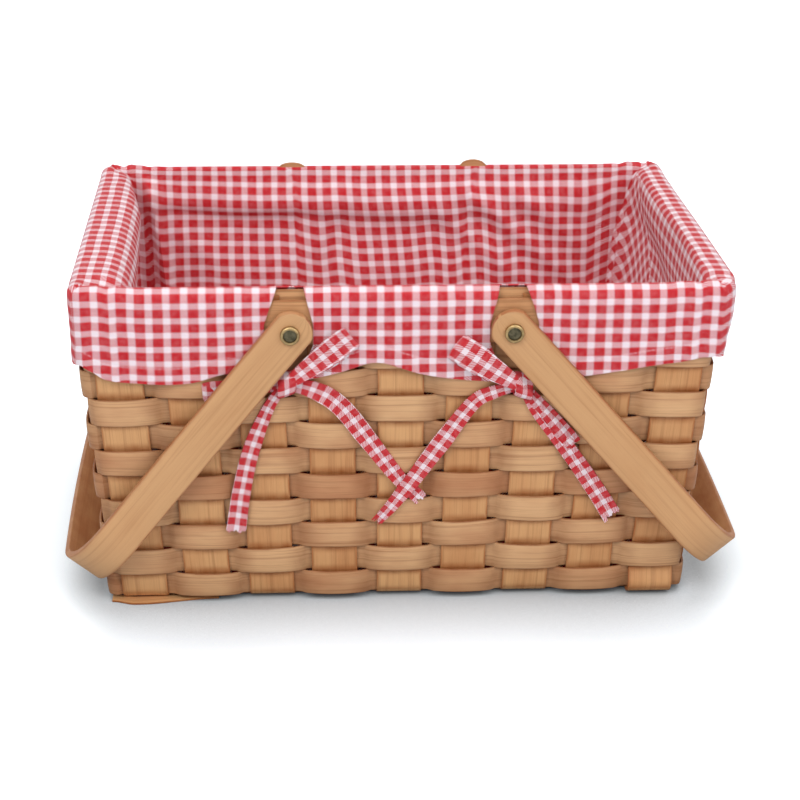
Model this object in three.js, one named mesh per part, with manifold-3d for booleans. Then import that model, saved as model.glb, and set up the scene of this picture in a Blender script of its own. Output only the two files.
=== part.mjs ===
// Picnic basket woven from split wood, with a checked cloth liner tied on by bows
// and two bentwood handles that swing on brass rivets.
// Millimetres, +Z up, +X along the long side, the front faces -Y.
// The origin lies on the table under the middle of the box round the basket and its handles.
import * as THREE from 'three';
import { mergeVertices } from 'three/addons/utils/BufferGeometryUtils.js';
import Module from 'manifold-3d';

const wasm = await Module();
wasm.setup();

// Basket body, measured on the middle plane of the upright stakes
const baseLength = 340;
const baseDepth = 232;
const endFlare = 13;
const sideFlare = 5.5;
const stakeTop = 195;
const cornerRadius = 4;

// Woven strips
const clearance = 0.3;
const stripThickness = 1.2;
const stakeWidth = 27;
const crossStakeCount = 9;
const longStakeCount = 6;
const stakeToCorner = 1.5;
const weaveSlack = 0.5;
const weaverArch = 0.9;
const stakeBendRadius = 1.5;
const rowCount = 10;
const rowGap = 0.4;
const bottomRowHeight = 14.8;
const firstRowRise = 1.2;

// Rim: a wide band outside the stakes and a taller one inside them
const bandThickness = 2.4;
const outerBandHeight = 27;
const outerBandDrop = 2;
const innerBandHeight = 29;
const innerBandRise = 3;

// Handles, pivoted between two stakes: that many stake pitches from the middle, and a shift outwards
const pivotStakeGap = 1.5;
const pivotShift = 2.21;
const pivotDrop = 18;
const handleWidth = 24;
const handleThickness = 4.5;
const handleReach = 200;
const handleBendRadius = 30;
const handleSplay = 3.5;
const handleWallGap = 1.5;
const handleEndRadius = 13;
const handleChamfer = 0.9;
const handleGap = 3;

// Rivets and the washers that they are clinched over
const rivetShankRadius = 2.5;
const rivetHeadRadius = 5.6;
const rivetHeadHeight = 2.2;
const rivetHollowRadius = 3.1;
const rivetHollowDepth = 4;
const rivetClinchRadius = 4.2;
const rivetClinchHeight = 0.9;
const rivetClearance = 0.25;
const washerRadius = 5.5;
const washerThickness = 0.8;
const roundSides = 16;

// Cloth liner
const clothThickness = 1;
const bagFloorInset = 7;
const bagBellyInset = 12;
const bagBellyDrop = 62;
const bagFoldInset = 10;
const bagFloorShortening = 6;
const bagBellyShortening = 8;
const bagCreaseShortening = 11;
const bagFoldShortening = 4;
const bagCornerRadius = 14;
const skirtOverhang = 23;
const middleHemLift = 11;
const endHemLift = 6;
const sideFoldDepth = 1.4;
const endFoldDepth = 4.5;
const foldSpacing = 58;
const notchTopWidth = 17;
const notchWidth = 27;
const notchFootWidth = 5;

// Cloth ties
const tieWidth = 11;
const tieThickness = 1;
const loopThickness = 2.2;
const knotWidth = 11;
const knotHeight = 12;
const knotDepth = 5.5;
const knotShift = 3.5;
const knotDrop = 33;

// Heights and offsets that follow from the sizes above; offsets run outwards from the stakes' middle plane
const stakeFace = stripThickness / 2;
const weaveOffset = stripThickness + clearance;
const weaveFlat = weaveOffset + stakeFace;
const weaveFace = weaveFlat + weaverArch;
const crossLevel = stakeFace + weaveOffset;
const baseTop = crossLevel + weaveFlat;
const firstRowBottom = crossLevel + stakeFace + firstRowRise;
const outerBandTop = stakeTop - outerBandDrop;
const outerBandBottom = outerBandTop - outerBandHeight;
const innerBandTop = stakeTop + innerBandRise;
const bandInnerFace = stakeFace + clearance;
const bandOuterFace = bandInnerFace + bandThickness;
const rowPitch = (outerBandBottom - firstRowBottom - bottomRowHeight) / (rowCount - 1);
const pivotHeight = outerBandTop - pivotDrop;
const pivotWall = halfDepth(pivotHeight);
const pivotStake = (crossStakeCount - 1) / 2 + pivotStakeGap;
const pivotX = stakePlace(pivotStake, crossStakeCount, halfLength(pivotHeight)) + pivotShift;
const armStandOff = Math.max(halfDepth(0) - pivotWall, 0);
const armInnerFace = armStandOff + bandOuterFace + handleGap;
const armOuterFace = armInnerFace + handleThickness;
const washerSeat = bandOuterFace + clearance;
const clinchSeat = washerSeat + washerThickness + clearance;
const clinchEnd = clinchSeat + rivetClinchHeight;
const skirtHem = outerBandBottom - skirtOverhang;
const skirtWaist = outerBandBottom - skirtOverhang / 3;

function halfLength(z) {
  return baseLength / 2 + (endFlare * z) / stakeTop;
}

function halfDepth(z) {
  return baseDepth / 2 + (sideFlare * z) / stakeTop;
}

// Place of a stake's middle along a wall of the given half size; the stakes spread evenly between the corners
function stakePlace(index, count, half) {
  const outermost = half - cornerRadius - stakeToCorner - stakeWidth / 2;
  return outermost * ((2 * index) / (count - 1) - 1);
}

const finishes = {
  stake: { color: 0xd9b384, roughness: 0.62, metalness: 0 },
  weaver: { color: 0xcf9f6b, roughness: 0.62, metalness: 0 },
  rim: { color: 0xc99f68, roughness: 0.58, metalness: 0 },
  handle: { color: 0xc8955a, roughness: 0.5, metalness: 0 },
  brass: { color: 0xa98a4e, roughness: 0.35, metalness: 1 },
  cloth: { color: 0xdb8a90, roughness: 0.9, metalness: 0 },
  tie: { color: 0xd9676c, roughness: 0.9, metalness: 0 },
};

function makePart(name, geometry, finish) {
  const part = new THREE.Mesh(geometry, new THREE.MeshStandardMaterial(finishes[finish]));
  part.name = name;
  return part;
}

function signedVolume(geometry) {
  const corner = geometry.attributes.position;
  const index = geometry.index.array;
  const [a, b, c] = [new THREE.Vector3(), new THREE.Vector3(), new THREE.Vector3()];
  let volume = 0;
  for (let i = 0; i < index.length; i += 3) {
    a.fromBufferAttribute(corner, index[i]);
    b.fromBufferAttribute(corner, index[i + 1]);
    c.fromBufferAttribute(corner, index[i + 2]);
    volume += a.dot(b.cross(c)) / 6;
  }
  return volume;
}

function solidGeometry(points, index) {
  const geometry = new THREE.BufferGeometry();
  geometry.setAttribute('position', new THREE.Float32BufferAttribute(points.flatMap((p) => p.toArray()), 3));
  geometry.setIndex(index);
  if (signedVolume(geometry) < 0) {
    geometry.setIndex(index.toReversed());
  }
  return geometry;
}

// Skins cross-sections that all have the same number of corners. A ring closes on its first section,
// and an open run gets a cap that fans from a middle point at each end.
function loft(sections, isRing) {
  const count = sections[0].length;
  const points = sections.flat();
  const index = [];
  const spans = isRing ? sections.length : sections.length - 1;
  for (let s = 0; s < spans; s += 1) {
    const here = s * count;
    const next = ((s + 1) % sections.length) * count;
    for (let c = 0; c < count; c += 1) {
      const d = (c + 1) % count;
      index.push(here + c, here + d, next + d, here + c, next + d, next + c);
    }
  }
  if (!isRing) {
    for (const end of [0, sections.length - 1]) {
      const middle = sections[end].reduce((sum, p) => sum.add(p), new THREE.Vector3()).divideScalar(count);
      points.push(middle);
      for (let c = 0; c < count; c += 1) {
        const edge = [end * count + c, end * count + ((c + 1) % count)];
        index.push(...(end === 0 ? edge.toReversed() : edge), points.length - 1);
      }
    }
  }
  return solidGeometry(points, index);
}

function toManifold(geometry) {
  const plain = geometry.clone();
  plain.deleteAttribute('normal');
  plain.deleteAttribute('uv');
  const merged = mergeVertices(plain);
  return new wasm.Manifold(new wasm.Mesh({
    numProp: 3,
    vertProperties: new Float32Array(merged.attributes.position.array),
    triVerts: new Uint32Array(merged.index.array),
  }));
}

function fromManifold(solid) {
  const mesh = solid.getMesh();
  const geometry = new THREE.BufferGeometry();
  geometry.setAttribute('position', new THREE.Float32BufferAttribute(mesh.vertProperties, 3));
  geometry.setIndex([...mesh.triVerts]);
  return geometry;
}

function cutAway(geometry, cutters) {
  let solid = toManifold(geometry);
  for (const cutter of cutters) {
    solid = solid.subtract(toManifold(cutter));
  }
  return fromManifold(solid);
}

function joinTogether(geometries) {
  const [first, ...others] = geometries.map(toManifold);
  return fromManifold(others.reduce((whole, piece) => whole.add(piece), first));
}

// A stretch of cylinder along Y at each rivet
function rivetHole(x, fromY, toY) {
  const hole = new THREE.CylinderGeometry(
    rivetShankRadius + rivetClearance, rivetShankRadius + rivetClearance, toY - fromY, roundSides);
  hole.translate(x, (fromY + toY) / 2, pivotHeight);
  return hole;
}

// Moves a flat path sideways by a distance, with mitred corners
function offsetPath(path, distance) {
  return path.map((point, i) => {
    const before = path[Math.max(i - 1, 0)];
    const after = path[Math.min(i + 1, path.length - 1)];
    const into = i > 0 ? point.clone().sub(before).normalize() : after.clone().sub(point).normalize();
    const out = i < path.length - 1 ? after.clone().sub(point).normalize() : into.clone();
    const normal = new THREE.Vector2(-into.y - out.y, into.x + out.x).normalize();
    const mitre = normal.dot(new THREE.Vector2(-into.y, into.x));
    return point.clone().addScaledVector(normal, distance / mitre);
  });
}

// The path of a stake from one rim down the wall, across the base and up to the other rim.
// Its first number runs along the wall-to-wall direction and its second is the height.
function stakePath(halfSize, baseStations) {
  const bendTop = crossLevel + stakeBendRadius;
  const bendCentre = halfSize(bendTop) - stakeBendRadius;
  const bend = [0, 1, 2, 3].map((step) => {
    const angle = (step / 3) * (Math.PI / 2);
    const reach = bendCentre + stakeBendRadius * Math.cos(angle);
    return new THREE.Vector2(reach, bendTop - stakeBendRadius * Math.sin(angle));
  });
  const wall = [new THREE.Vector2(halfSize(stakeTop), stakeTop), ...bend];
  const farWall = wall.map((p) => new THREE.Vector2(-p.x, p.y)).toReversed();
  return [...wall, ...baseStations, ...farWall];
}

// A strip along a stake path. place turns a path point and a step across the width into a point in space.
function stakeGeometry(path, place) {
  const above = offsetPath(path, stakeFace);
  const below = offsetPath(path, -stakeFace);
  const sections = path.map((point, i) => [
    place(above[i], point.y, -stakeWidth / 2),
    place(above[i], point.y, stakeWidth / 2),
    place(below[i], point.y, stakeWidth / 2),
    place(below[i], point.y, -stakeWidth / 2),
  ]);
  return loft(sections, false);
}

// Stakes that run from the front wall under the base to the back wall, flat across the base
function crossStake(column) {
  const path = stakePath(halfDepth, []);
  const place = (point, z, across) => new THREE.Vector3(
    stakePlace(column, crossStakeCount, halfLength(z)) + across, point.x, point.y);
  return makePart(`cross_stake_${column + 1}`, stakeGeometry(path, place), 'stake');
}

// Stakes that run from end wall to end wall, woven under and over the cross stakes in the base
function longStake(lane) {
  const stations = [];
  for (let column = crossStakeCount - 1; column >= 0; column -= 1) {
    const middle = stakePlace(column, crossStakeCount, halfLength(crossLevel));
    const level = crossLevel + weaveOffset * ((column + lane) % 2 === 0 ? -1 : 1);
    for (const side of [1, -1]) {
      stations.push(new THREE.Vector2(middle + side * (stakeWidth / 2 + weaveSlack), level));
    }
  }
  const path = stakePath(halfLength, stations);
  const place = (point, z, across) => new THREE.Vector3(
    point.x, stakePlace(lane, longStakeCount, halfDepth(z)) + across, point.y);
  return makePart(`long_stake_${lane + 1}`, stakeGeometry(path, place), 'stake');
}

// Points of a rounded rectangle at a height, as { place, outward }, walked round from the front left.
// Each wall's stops are shares of the way along its straight stretch; each corner has the given steps.
function wallLoop(halfX, halfY, radius, z, stopsX, stopsY, cornerSteps) {
  const walls = [
    { along: [1, 0], outward: [0, -1], half: halfX - radius, away: halfY, stops: stopsX },
    { along: [0, 1], outward: [1, 0], half: halfY - radius, away: halfX, stops: stopsY },
    { along: [-1, 0], outward: [0, 1], half: halfX - radius, away: halfY, stops: stopsX },
    { along: [0, -1], outward: [-1, 0], half: halfY - radius, away: halfX, stops: stopsY },
  ];
  const loop = [];
  for (const { along, outward, half, away, stops } of walls) {
    const run = new THREE.Vector3(...along, 0);
    const out = new THREE.Vector3(...outward, 0);
    for (const stop of stops) {
      const place = run.clone().multiplyScalar(half * stop).addScaledVector(out, away);
      loop.push({ place: place.setZ(z), outward: out.clone() });
    }
    const centre = run.clone().multiplyScalar(half).addScaledVector(out, away - radius);
    for (let step = 1; step < cornerSteps; step += 1) {
      const angle = (step / cornerSteps) * (Math.PI / 2);
      const normal = out.clone().multiplyScalar(Math.cos(angle)).addScaledVector(run, Math.sin(angle));
      const place = centre.clone().addScaledVector(normal, radius);
      loop.push({ place: place.setZ(z), outward: normal });
    }
  }
  return loop;
}

// Shares of the way along a wall's straight stretch where a weaver meets each stake's edges and middle
function stakeStops(count, half) {
  const straight = half - cornerRadius;
  const stops = [];
  for (let stake = 0; stake < count; stake += 1) {
    const middle = stakePlace(stake, count, half);
    for (const edge of [-1, 0, 1]) {
      stops.push((middle + edge * (stakeWidth / 2 + weaveSlack)) / straight);
    }
  }
  return stops;
}

// How far a weaver lies from the stakes' plane at each point of its loop. It arches over each stake,
// swaps sides from stake to stake and crosses over at the corners.
const weaverCornerSteps = 3;
function weaveOffsets(row) {
  const offsets = [];
  let side = row % 2 === 0 ? -1 : 1;
  for (const count of [crossStakeCount, longStakeCount, crossStakeCount, longStakeCount]) {
    for (let stake = 0; stake < count; stake += 1) {
      offsets.push(side * weaveOffset, side * (weaveOffset + weaverArch), side * weaveOffset);
      side = -side;
    }
    for (let step = 1; step < weaverCornerSteps; step += 1) {
      offsets.push(weaveOffset * side * ((2 * step) / weaverCornerSteps - 1));
    }
  }
  return offsets;
}

function weaverRow(row) {
  const foot = row === 0 ? firstRowBottom : firstRowBottom + bottomRowHeight + rowPitch * (row - 1);
  const height = row === 0 ? bottomRowHeight : rowPitch;
  const edges = [foot, foot + height - rowGap].map((z) => {
    const stopsX = stakeStops(crossStakeCount, halfLength(z));
    const stopsY = stakeStops(longStakeCount, halfDepth(z));
    return wallLoop(halfLength(z), halfDepth(z), cornerRadius, z, stopsX, stopsY, weaverCornerSteps);
  });
  const shift = ({ place, outward }, distance) => place.clone().addScaledVector(outward, distance);
  const sections = weaveOffsets(row).map((offset, i) => [
    shift(edges[0][i], offset + stakeFace),
    shift(edges[1][i], offset + stakeFace),
    shift(edges[1][i], offset - stakeFace),
    shift(edges[0][i], offset - stakeFace),
  ]);
  return makePart(`weaver_row_${row + 1}`, loft(sections, true), 'weaver');
}

// A rim band between two offsets from the stakes and two heights, bored for the rivets
function rimBand(name, innerFace, outerFace, bottom, top) {
  const bandCornerSteps = 4;
  const corners = [[outerFace, bottom], [outerFace, top], [innerFace, top], [innerFace, bottom]];
  const loops = corners.map(([face, z]) => wallLoop(
    halfLength(z) + face, halfDepth(z) + face, cornerRadius + face, z, [-1, 1], [-1, 1], bandCornerSteps));
  const sections = loops[0].map((_, i) => loops.map((loop) => loop[i].place));
  const reach = pivotWall + 2 * Math.abs(outerFace) + bandThickness;
  const holes = [-1, 1].map((side) => rivetHole(side * pivotX, -reach, reach));
  return makePart(name, cutAway(loft(sections, true), holes), 'rim');
}

// Tubular rivet along Y: a hollow head outside the handle, a shank through the rim and a clinched foot inside
function rivetGeometry() {
  const headSeat = armOuterFace + clearance;
  const headTop = headSeat + rivetHeadHeight;
  const hollowFloor = headTop - rivetHollowDepth;
  const hollowEase = rivetHollowRadius / 3;
  const headEase = rivetHeadHeight / 2;
  const shankHollow = rivetShankRadius - hollowEase;
  const profile = [
    [0, -clinchEnd],
    [rivetClinchRadius - rivetClinchHeight / 2, -clinchEnd],
    [rivetClinchRadius, -clinchSeat],
    [rivetShankRadius, -clinchSeat],
    [rivetShankRadius, headSeat],
    [rivetHeadRadius, headSeat],
    [rivetHeadRadius, headSeat + headEase],
    [rivetHeadRadius - headEase, headTop],
    [rivetHollowRadius, headTop],
    [shankHollow, headSeat],
    [shankHollow, hollowFloor],
    [0, hollowFloor],
  ];
  return new THREE.LatheGeometry(profile.map(([r, y]) => new THREE.Vector2(r, y)), roundSides);
}

function washerGeometry() {
  const bore = rivetShankRadius + rivetClearance;
  const profile = [
    [bore, -washerSeat - washerThickness],
    [washerRadius, -washerSeat - washerThickness],
    [washerRadius, -washerSeat],
    [bore, -washerSeat],
    [bore, -washerSeat - washerThickness],
  ];
  return new THREE.LatheGeometry(profile.map(([r, y]) => new THREE.Vector2(r, y)), roundSides);
}

function pivotHardware(face, side) {
  const hardware = new THREE.Group();
  hardware.position.set(side.sign * pivotX, face.sign * pivotWall, pivotHeight);
  hardware.rotation.z = face.sign < 0 ? Math.PI : 0;
  hardware.add(makePart(`rivet_${face.name}_${side.name}`, rivetGeometry(), 'brass'));
  hardware.add(makePart(`washer_${face.name}_${side.name}`, washerGeometry(), 'brass'));
  return hardware;
}

// Angle below the horizontal at which a handle's cross part comes to lean on the woven end wall
function handleRestAngle() {
  let [low, high] = [0, Math.PI / 2];
  for (let step = 0; step < 40; step += 1) {
    const angle = (low + high) / 2;
    const reach = handleReach - handleThickness;
    const edgeX = pivotX + reach * Math.cos(angle) - (handleWidth / 2) * Math.sin(angle);
    const edgeZ = pivotHeight - reach * Math.sin(angle) - (handleWidth / 2) * Math.cos(angle);
    const isClear = edgeX > halfLength(edgeZ) + weaveFace + handleWallGap;
    [low, high] = isClear ? [angle, high] : [low, angle];
  }
  return low;
}

// Bentwood strip in its own plane: +X runs from the pivots to the cross part, Y across the basket.
// Each section has chamfered corners, the ends are rounded about the pivots, and the arms spread towards the bends.
function handleGeometry() {
  const armMiddle = pivotWall + (armInnerFace + armOuterFace) / 2;
  const bendMiddle = handleBendRadius - handleThickness / 2;
  const bendX = handleReach - handleBendRadius;
  const splay = THREE.MathUtils.degToRad(handleSplay);
  const armEnd = bendX - bendMiddle * Math.sin(splay);
  const spreadAt = (x) => (Math.tan(splay) * x * x) / (2 * armEnd);
  const bendY = armMiddle + spreadAt(armEnd) - bendMiddle * Math.cos(splay);
  const spine = [];
  for (const turn of [75, 60, 45, 30, 15, 0]) {
    const angle = THREE.MathUtils.degToRad(turn);
    const halfWidth = Math.min(handleEndRadius * Math.cos(angle), handleWidth / 2);
    spine.push({ x: -handleEndRadius * Math.sin(angle), y: -armMiddle, normal: [0, -1], halfWidth });
  }
  for (const share of [0.25, 0.5, 0.75]) {
    const x = armEnd * share;
    const lean = Math.atan(Math.tan(splay) * share);
    const normal = [-Math.sin(lean), -Math.cos(lean)];
    spine.push({ x, y: -armMiddle - spreadAt(x), normal, halfWidth: handleWidth / 2 });
  }
  for (const turn of [-handleSplay, 10, 25, 40, 55, 70, 90]) {
    const angle = THREE.MathUtils.degToRad(turn);
    const normal = [Math.sin(angle), -Math.cos(angle)];
    const place = { x: bendX + bendMiddle * normal[0], y: -bendY + bendMiddle * normal[1] };
    spine.push({ ...place, normal, halfWidth: handleWidth / 2 });
  }
  const farArm = spine.map(({ x, y, normal, halfWidth }) => ({ x, y: -y, normal: [normal[0], -normal[1]], halfWidth }));
  const sections = [...spine, ...farArm.toReversed()].map(({ x, y, normal, halfWidth }) => {
    const face = handleThickness / 2;
    const easedWidth = Math.max(halfWidth - handleChamfer, halfWidth / 2);
    const corners = [
      [face, easedWidth], [face - handleChamfer, halfWidth], [handleChamfer - face, halfWidth], [-face, easedWidth],
      [-face, -easedWidth], [handleChamfer - face, -halfWidth], [face - handleChamfer, -halfWidth], [face, -easedWidth],
    ];
    return corners.map(([out, across]) => new THREE.Vector3(x + normal[0] * out, y + normal[1] * out, across));
  });
  const boreReach = armMiddle + handleThickness;
  const bore = new THREE.CylinderGeometry(
    rivetShankRadius + rivetClearance, rivetShankRadius + rivetClearance, 2 * boreReach, roundSides);
  return cutAway(loft(sections, false), [bore]);
}

function swingHandle(side) {
  const pivot = new THREE.Group();
  pivot.position.set(side.sign * pivotX, 0, pivotHeight);
  const angle = handleRestAngle() - THREE.MathUtils.degToRad(side.handleLift);
  pivot.rotation.y = side.sign > 0 ? angle : Math.PI - angle;
  pivot.add(makePart(`${side.name}_handle`, handleGeometry(), 'handle'));
  return pivot;
}

// Rings of the liner from its floor up the inside, over the rim and down the outside to the hem, and back
// along the cloth's other face. Each ring has its offset from the stakes, its corner and its share of the folds.
// The bag is shorter than the basket, so that its ends slope in, and it folds under the rim and bellies out below.
const linerStopsX = Array.from({ length: 15 }, (_, i) => i / 7 - 1);
const linerStopsY = Array.from({ length: 7 }, (_, i) => i / 3 - 1);
function linerRings() {
  const floor = baseTop + clearance;
  const foldHeight = pivotHeight + washerRadius + 2 * clearance;
  const creaseHeight = pivotHeight - washerRadius - 2 * clearance;
  const creaseInset = clinchEnd + clearance;
  const rimInset = bandOuterFace + clearance;
  const rimOver = innerBandTop + clearance;
  const skirtFace = bandOuterFace + clearance;
  const hangFace = weaveFace + clearance;
  const roundIn = (inset) => Math.max(cornerRadius - inset, clothThickness);
  const bag = [
    { offset: -bagFloorInset, shortening: bagFloorShortening, z: floor, radius: bagCornerRadius },
    { offset: -bagBellyInset, shortening: bagBellyShortening, z: rimOver - bagBellyDrop, radius: bagCornerRadius },
    { offset: -creaseInset, shortening: bagCreaseShortening, z: creaseHeight, radius: bagCornerRadius },
    { offset: -bagFoldInset, shortening: bagFoldShortening, z: foldHeight, radius: bagCornerRadius / 2 },
    { offset: -rimInset, z: innerBandTop - clearance, radius: roundIn(rimInset) },
  ];
  const rim = [
    { offset: -rimInset, z: rimOver, radius: roundIn(rimInset) },
    { offset: -bandInnerFace + stakeFace, z: rimOver, radius: cornerRadius },
  ];
  const skirt = [
    { offset: skirtFace, z: outerBandTop + clearance, radius: cornerRadius + skirtFace },
    { offset: skirtFace, z: outerBandBottom, radius: cornerRadius + skirtFace },
    { offset: hangFace, z: skirtWaist, radius: cornerRadius + hangFace, fold: 0.5 },
    { offset: hangFace, z: skirtHem, radius: cornerRadius + hangFace, fold: 1 },
  ];
  const thick = clothThickness;
  const movedOut = (ring, distance, rise) => ({
    ...ring,
    offset: ring.offset + distance,
    radius: Math.max(ring.radius + distance, clothThickness / 2),
    z: ring.z + rise,
  });
  const openSide = [
    ...bag.map((ring, i) => movedOut(ring, -thick, i === 0 ? thick : 0)),
    movedOut(rim[0], -thick, thick),
    movedOut(rim[1], thick / 2, thick),
    ...skirt.map((ring) => movedOut(ring, thick, 0)),
  ];
  const wallSide = [...bag, ...rim, ...skirt];
  return [...openSide, ...wallSide.toReversed()];
}

// The hem rises to the middle of the front and back flaps and a little towards the ends
function hemLift(place) {
  const fromMiddle = Math.abs(place.x) / pivotX;
  const toEnd = (Math.abs(place.x) - pivotX) / (halfLength(stakeTop) - pivotX);
  return fromMiddle < 1 ? middleHemLift * (1 - fromMiddle) : endHemLift * toEnd * toEnd;
}

// How far a fold stands out at a point of the skirt; the end flaps fold deeper than the front and back
function foldOut(place, outward) {
  const along = Math.abs(outward.x) > Math.abs(outward.y) ? place.y : place.x;
  const depth = THREE.MathUtils.lerp(sideFoldDepth, endFoldDepth, outward.x * outward.x);
  return (depth * (1 + Math.cos((2 * Math.PI * along) / foldSpacing))) / 2;
}

function linerRing({ offset, shortening = 0, z, radius, fold = 0 }) {
  const cornerSteps = 3;
  const loop = wallLoop(
    halfLength(z) + offset - shortening, halfDepth(z) + offset, radius, z, linerStopsX, linerStopsY, cornerSteps);
  return loop.map(({ place, outward }) => {
    const moved = place.clone().addScaledVector(outward, fold * foldOut(place, outward));
    return fold === 1 ? moved.setZ(z + hemLift(place)) : moved;
  });
}

// Arched cut that bares the rim and the pivot between two flaps
function notchCutter(x, faceSign) {
  const top = innerBandTop + 2 * clothThickness + clearance;
  const foot = skirtHem - middleHemLift;
  const outline = new THREE.Shape();
  const waist = pivotHeight - handleWidth / 2;
  outline.moveTo(-notchTopWidth / 2, top);
  outline.lineTo(-notchWidth / 2, pivotHeight);
  outline.lineTo(-notchWidth / 2 + clothThickness, waist);
  outline.lineTo(-notchFootWidth / 2, skirtHem + clothThickness * 4);
  outline.lineTo(-notchFootWidth / 2, foot);
  outline.lineTo(notchFootWidth / 2, foot);
  outline.lineTo(notchFootWidth / 2, skirtHem + clothThickness * 4);
  outline.lineTo(notchWidth / 2 - clothThickness, waist);
  outline.lineTo(notchWidth / 2, pivotHeight);
  outline.lineTo(notchTopWidth / 2, top);
  const reach = bandOuterFace * 2 + handleGap;
  const cutter = new THREE.ExtrudeGeometry(outline, { depth: reach, bevelEnabled: false });
  cutter.rotateX(Math.PI / 2);
  const nearY = faceSign < 0 ? -pivotWall + bandOuterFace : pivotWall - bandOuterFace + reach;
  cutter.translate(x, nearY, 0);
  return cutter;
}

function clothLiner() {
  const cutters = [];
  for (const faceSign of [-1, 1]) {
    for (const sideSign of [-1, 1]) {
      cutters.push(notchCutter(sideSign * pivotX, faceSign));
    }
  }
  const bag = loft(linerRings().map(linerRing), false);
  return makePart('cloth_liner', cutAway(bag, cutters), 'cloth');
}

// Routes of the ties from each knot, as [x from the knot, height from the knot, offset from the stakes],
// drawn for the left bow and the right bow as they lie on the front
const tieOver = armInnerFace + tieThickness / 2 + clearance;
const tieOn = weaveFace + tieThickness / 2 + clearance;
const tieCross = tieOn + tieThickness + 2 * clearance;
const bows = {
  left: {
    tails: [
      [[0, 0, tieOver], [-10, -16, tieOn], [-20, -42, tieOn], [-26, -68, tieOn], [-30, -94, tieOn]],
      [[0, 0, tieOver], [16, -4, tieOver], [31, -14, tieOn], [48, -37, tieOn], [66, -63, tieOn], [79, -77, tieOn]],
    ],
    loops: [
      [[0, 0, tieOver + 1], [18, 13, tieOver + 1], [38, 28, tieOver + 1]],
    ],
  },
  right: {
    tails: [
      [[0, 0, tieOver], [-16, -5, tieOver], [-27, -12, tieOver], [-43, -36, tieCross], [-60, -62, tieCross],
        [-71, -77, tieCross], [-80, -90, tieOn]],
      [[0, 0, tieOver], [11, -18, tieOn], [32, -45, tieOn], [49, -71, tieOn], [60, -92, tieOn]],
    ],
    loops: [
      [[0, 0, tieOver + 1], [-18, 14, tieOver + 1], [-36, 27, tieOver + 1]],
    ],
  },
};

// A flat ribbon along a route on the wall, turned so that its width lies in the wall's plane
function ribbon(route, thickness, knot, faceSign) {
  const curve = new THREE.CatmullRomCurve3(route.map(([across, rise, offset]) => {
    const z = knot.z + rise;
    return new THREE.Vector3(knot.x + across, faceSign * (halfDepth(z) + offset), z);
  }));
  const steps = 3 * (route.length - 1);
  const sections = [];
  for (let step = 0; step <= steps; step += 1) {
    const place = curve.getPoint(step / steps);
    const tangent = curve.getTangent(step / steps);
    const across = new THREE.Vector3(tangent.z, 0, -tangent.x).normalize();
    const normal = new THREE.Vector3().crossVectors(tangent, across).normalize();
    sections.push([[1, 1], [1, -1], [-1, -1], [-1, 1]].map(([side, up]) => place.clone()
      .addScaledVector(across, (side * tieWidth) / 2)
      .addScaledVector(normal, (up * thickness) / 2)));
  }
  return loft(sections, false);
}

function tiedBow(face, side) {
  const { tails, loops } = bows[side.name];
  const knot = { x: side.sign * (pivotX + knotShift), z: pivotHeight - knotDrop };
  const lump = new THREE.SphereGeometry(0.5, 10, 6);
  lump.scale(knotWidth, knotDepth, knotHeight);
  lump.translate(knot.x, face.sign * (halfDepth(knot.z) + tieOver + knotDepth / 4), knot.z);
  const ribbons = [
    ...tails.map((route) => ribbon(route, tieThickness, knot, face.sign)),
    ...loops.map((route) => ribbon(route, loopThickness, knot, face.sign)),
  ];
  return makePart(`bow_${face.name}_${side.name}`, joinTogether([lump, ...ribbons]), 'tie');
}

const faces = [{ name: 'front', sign: -1 }, { name: 'back', sign: 1 }];
// Friction at the rivets holds each handle some degrees off the end wall
const sides = [{ name: 'left', sign: -1, handleLift: 0.6 }, { name: 'right', sign: 1, handleLift: 3 }];

const basket = new THREE.Group();
for (let column = 0; column < crossStakeCount; column += 1) {
  basket.add(crossStake(column));
}
for (let lane = 0; lane < longStakeCount; lane += 1) {
  basket.add(longStake(lane));
}
for (let row = 0; row < rowCount; row += 1) {
  basket.add(weaverRow(row));
}
basket.add(rimBand('outer_rim_band', bandInnerFace, bandOuterFace, outerBandBottom, outerBandTop));
basket.add(rimBand('inner_rim_band', -bandOuterFace, -bandInnerFace, innerBandTop - innerBandHeight, innerBandTop));
for (const face of faces) {
  for (const side of sides) {
    basket.add(pivotHardware(face, side));
    basket.add(tiedBow(face, side));
  }
}
for (const side of sides) {
  basket.add(swingHandle(side));
}
basket.add(clothLiner());

// The handles hang at unequal angles, so the basket is moved over the middle of its own box
const box = new THREE.Box3().setFromObject(basket, true);
basket.position.x = -(box.min.x + box.max.x) / 2;

export default basket;
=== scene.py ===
"""A woven wooden picnic basket with a checked cotton liner, four tied bows and two swing handles."""

import math
import random

import bpy
import numpy as np
from mathutils import Matrix, Vector, noise


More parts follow.
